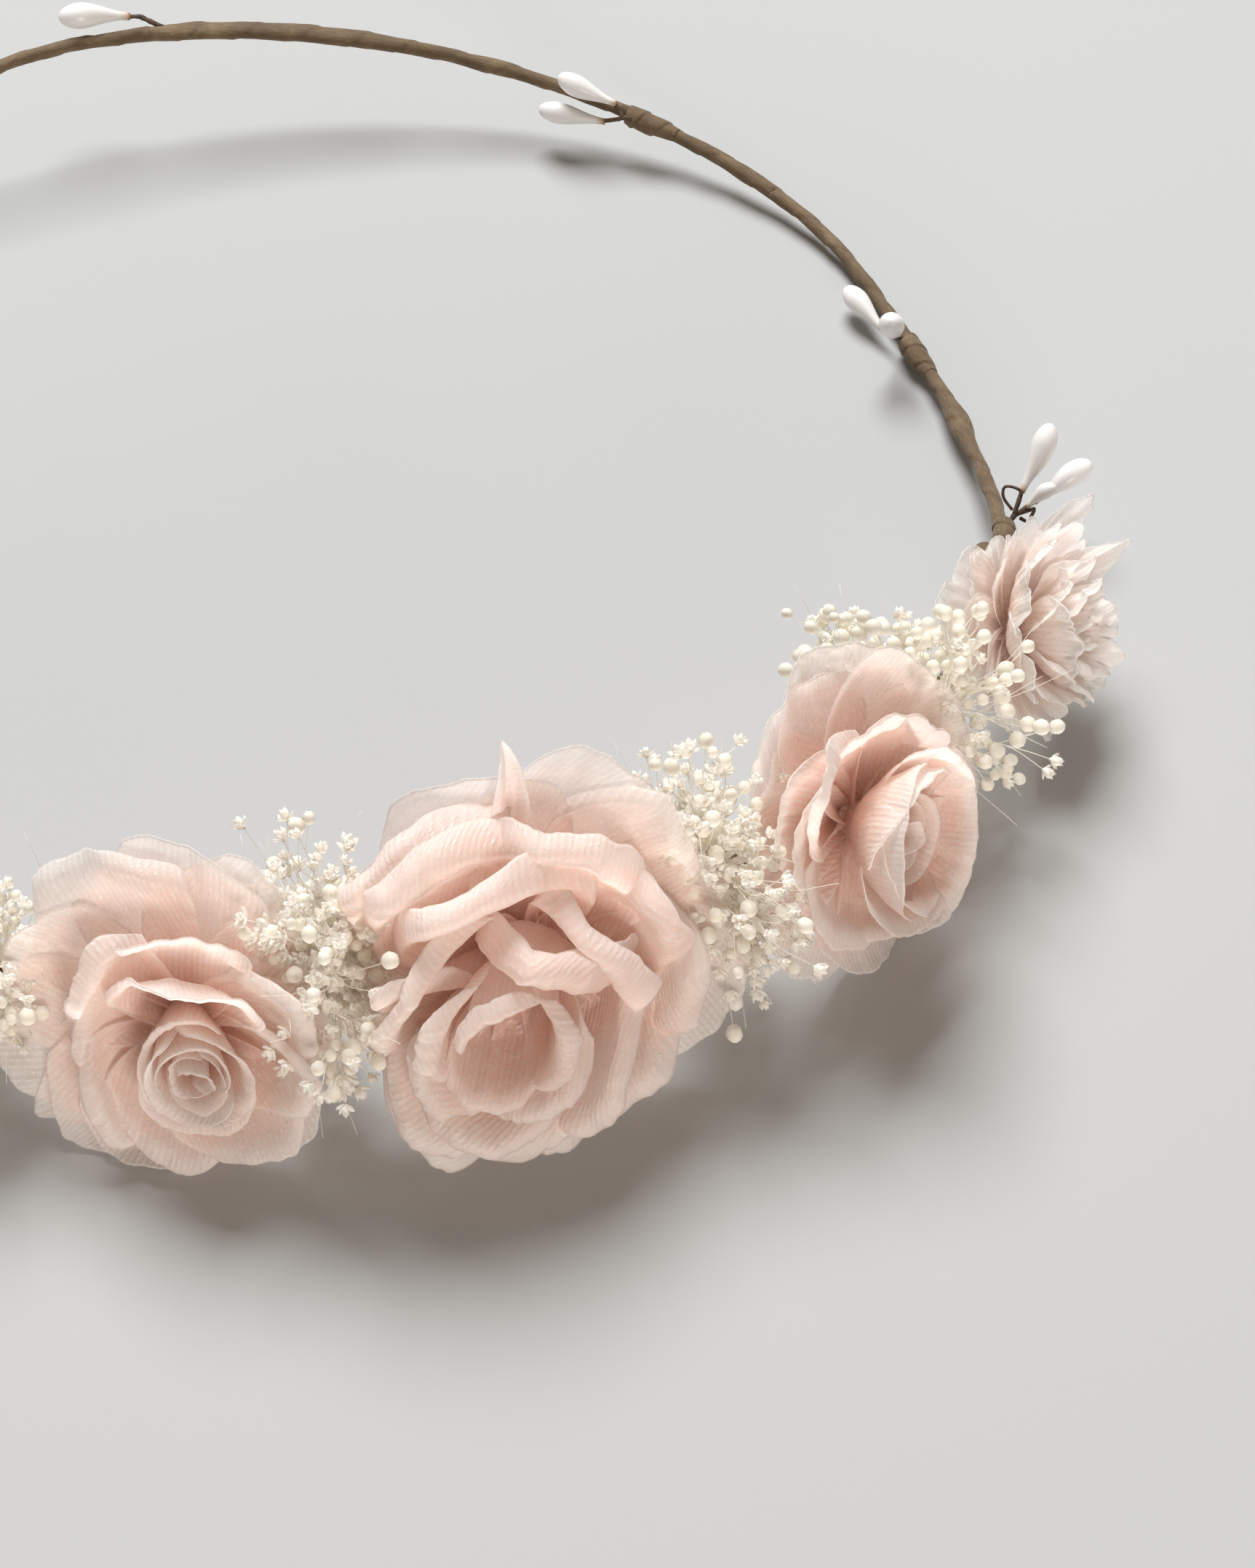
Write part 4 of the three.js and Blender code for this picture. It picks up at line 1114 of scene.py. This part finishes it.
def add_spray(node, stems, open_share, seed, offset, grow):
    """Hair-fine branching stems from the hoop, each ending in small florets, and wisps that bear none."""
    rng = np.random.default_rng(seed)
    points = node_points(node)
    middle = (points.min(0) + points.max(0)) / 2
    root, along, out, up = HOOP.frame(angles_of(middle[None])[0])
    axes = np.stack([along, out, np.array([0, 0, 1.0])], axis=1)
    half = np.abs((points - middle) @ axes).max(0) * np.array(grow)
    middle = middle + axes @ np.array(offset)
    stalks, balls, frills = Builder(), Builder(), Builder()
    for _ in range(stems):
        aim = unit(rng.normal(size=3))
        tip = middle + axes @ (aim * half * rng.uniform(0.25, 1.0) ** 0.8)
        tip[2] = max(tip[2], LOWEST_TIP)
        start = (root + along * rng.uniform(-STEM_FOOT, STEM_FOOT) + up * rng.uniform(0.4, 1.2)
                 + out * rng.uniform(-1, 1.2))
        fork = start + (tip - start) * rng.uniform(0.5, 0.72)
        add_hair(stalks, start, fork, rng.normal(size=3) * 0.8, STALK)
        for _ in range(rng.integers(3, 6)):
            end = tip + rng.normal(size=3) * BRANCH_SPREAD
            end[2] = max(end[2], LOWEST_FLORET)
            add_hair(stalks, fork, end, rng.normal(size=3) * 0.45, TWIG)
            heading = unit(end - fork)
            if rng.uniform() < open_share:
                add_open_floret(frills, end, heading, rng.uniform(0.95, 1.4), rng)
            else:
                add_round_floret(balls, end, heading, rng.uniform(0.62, 1.0), rng.uniform(0, 9))
    for _ in range(stems // 2):
        start = root + along * rng.uniform(-STEM_FOOT, STEM_FOOT) + up * 0.8
        end = middle + axes @ (rng.uniform(-1.0, 1.0, size=3) * half * 1.05)
        end[2] = max(end[2], LOWEST_FLORET)
        add_hair(stalks, start, end, rng.normal(size=3) * 1.6, WISP, 12)
    stalks.piece(f"{node}_stems", "hair_stem", "crown", "dried_gypsophila", [node])
    balls.piece(f"{node}_buds", "floret", "crown", "dried_gypsophila")
    frills.piece(f"{node}_florets", "floret_white", "crown", "dried_gypsophila")


# ---------------------------------------------------------------- assembly

add_stage()
add_camera()

for tape_node in TAPE_NODES:
    add_tape(tape_node)
for knob_node in ("tape_knob_right", "tape_knob_left"):
    add_knob(knob_node)

for index, joint in enumerate(frame["joints"]):
    sprig = joint["child"]
    bend_place = np.array(joint["pos_m"]) / MM
    add_sprig(sprig, bend_place, 1.7 * index + 0.4)
    if f"{sprig}_binding" in NODES:
        add_binding(f"{sprig}_binding", bend_place, 1 if bend_place[0] > 0 else -1, 2.3 + index)

for flower_name in ("rose_front", "rose_left", "rose_right", "blossom_left", "blossom_right"):
    add_stem(flower_name)
    add_heart_knot(flower_name, flower_name.split("_")[0] + "_fabric")
add_flower("rose_front", front_rose())
add_flower("rose_left", left_rose())
add_flower("rose_right", right_rose())
add_flower("blossom_right", blossom(1))
add_flower("blossom_left", blossom(-1))

for spray in SPRAYS:
    add_spray(*spray)

NODES["hoop_core_wire"].data.materials.clear()
NODES["hoop_core_wire"].data.materials.append(MATERIALS["stem_wire"])
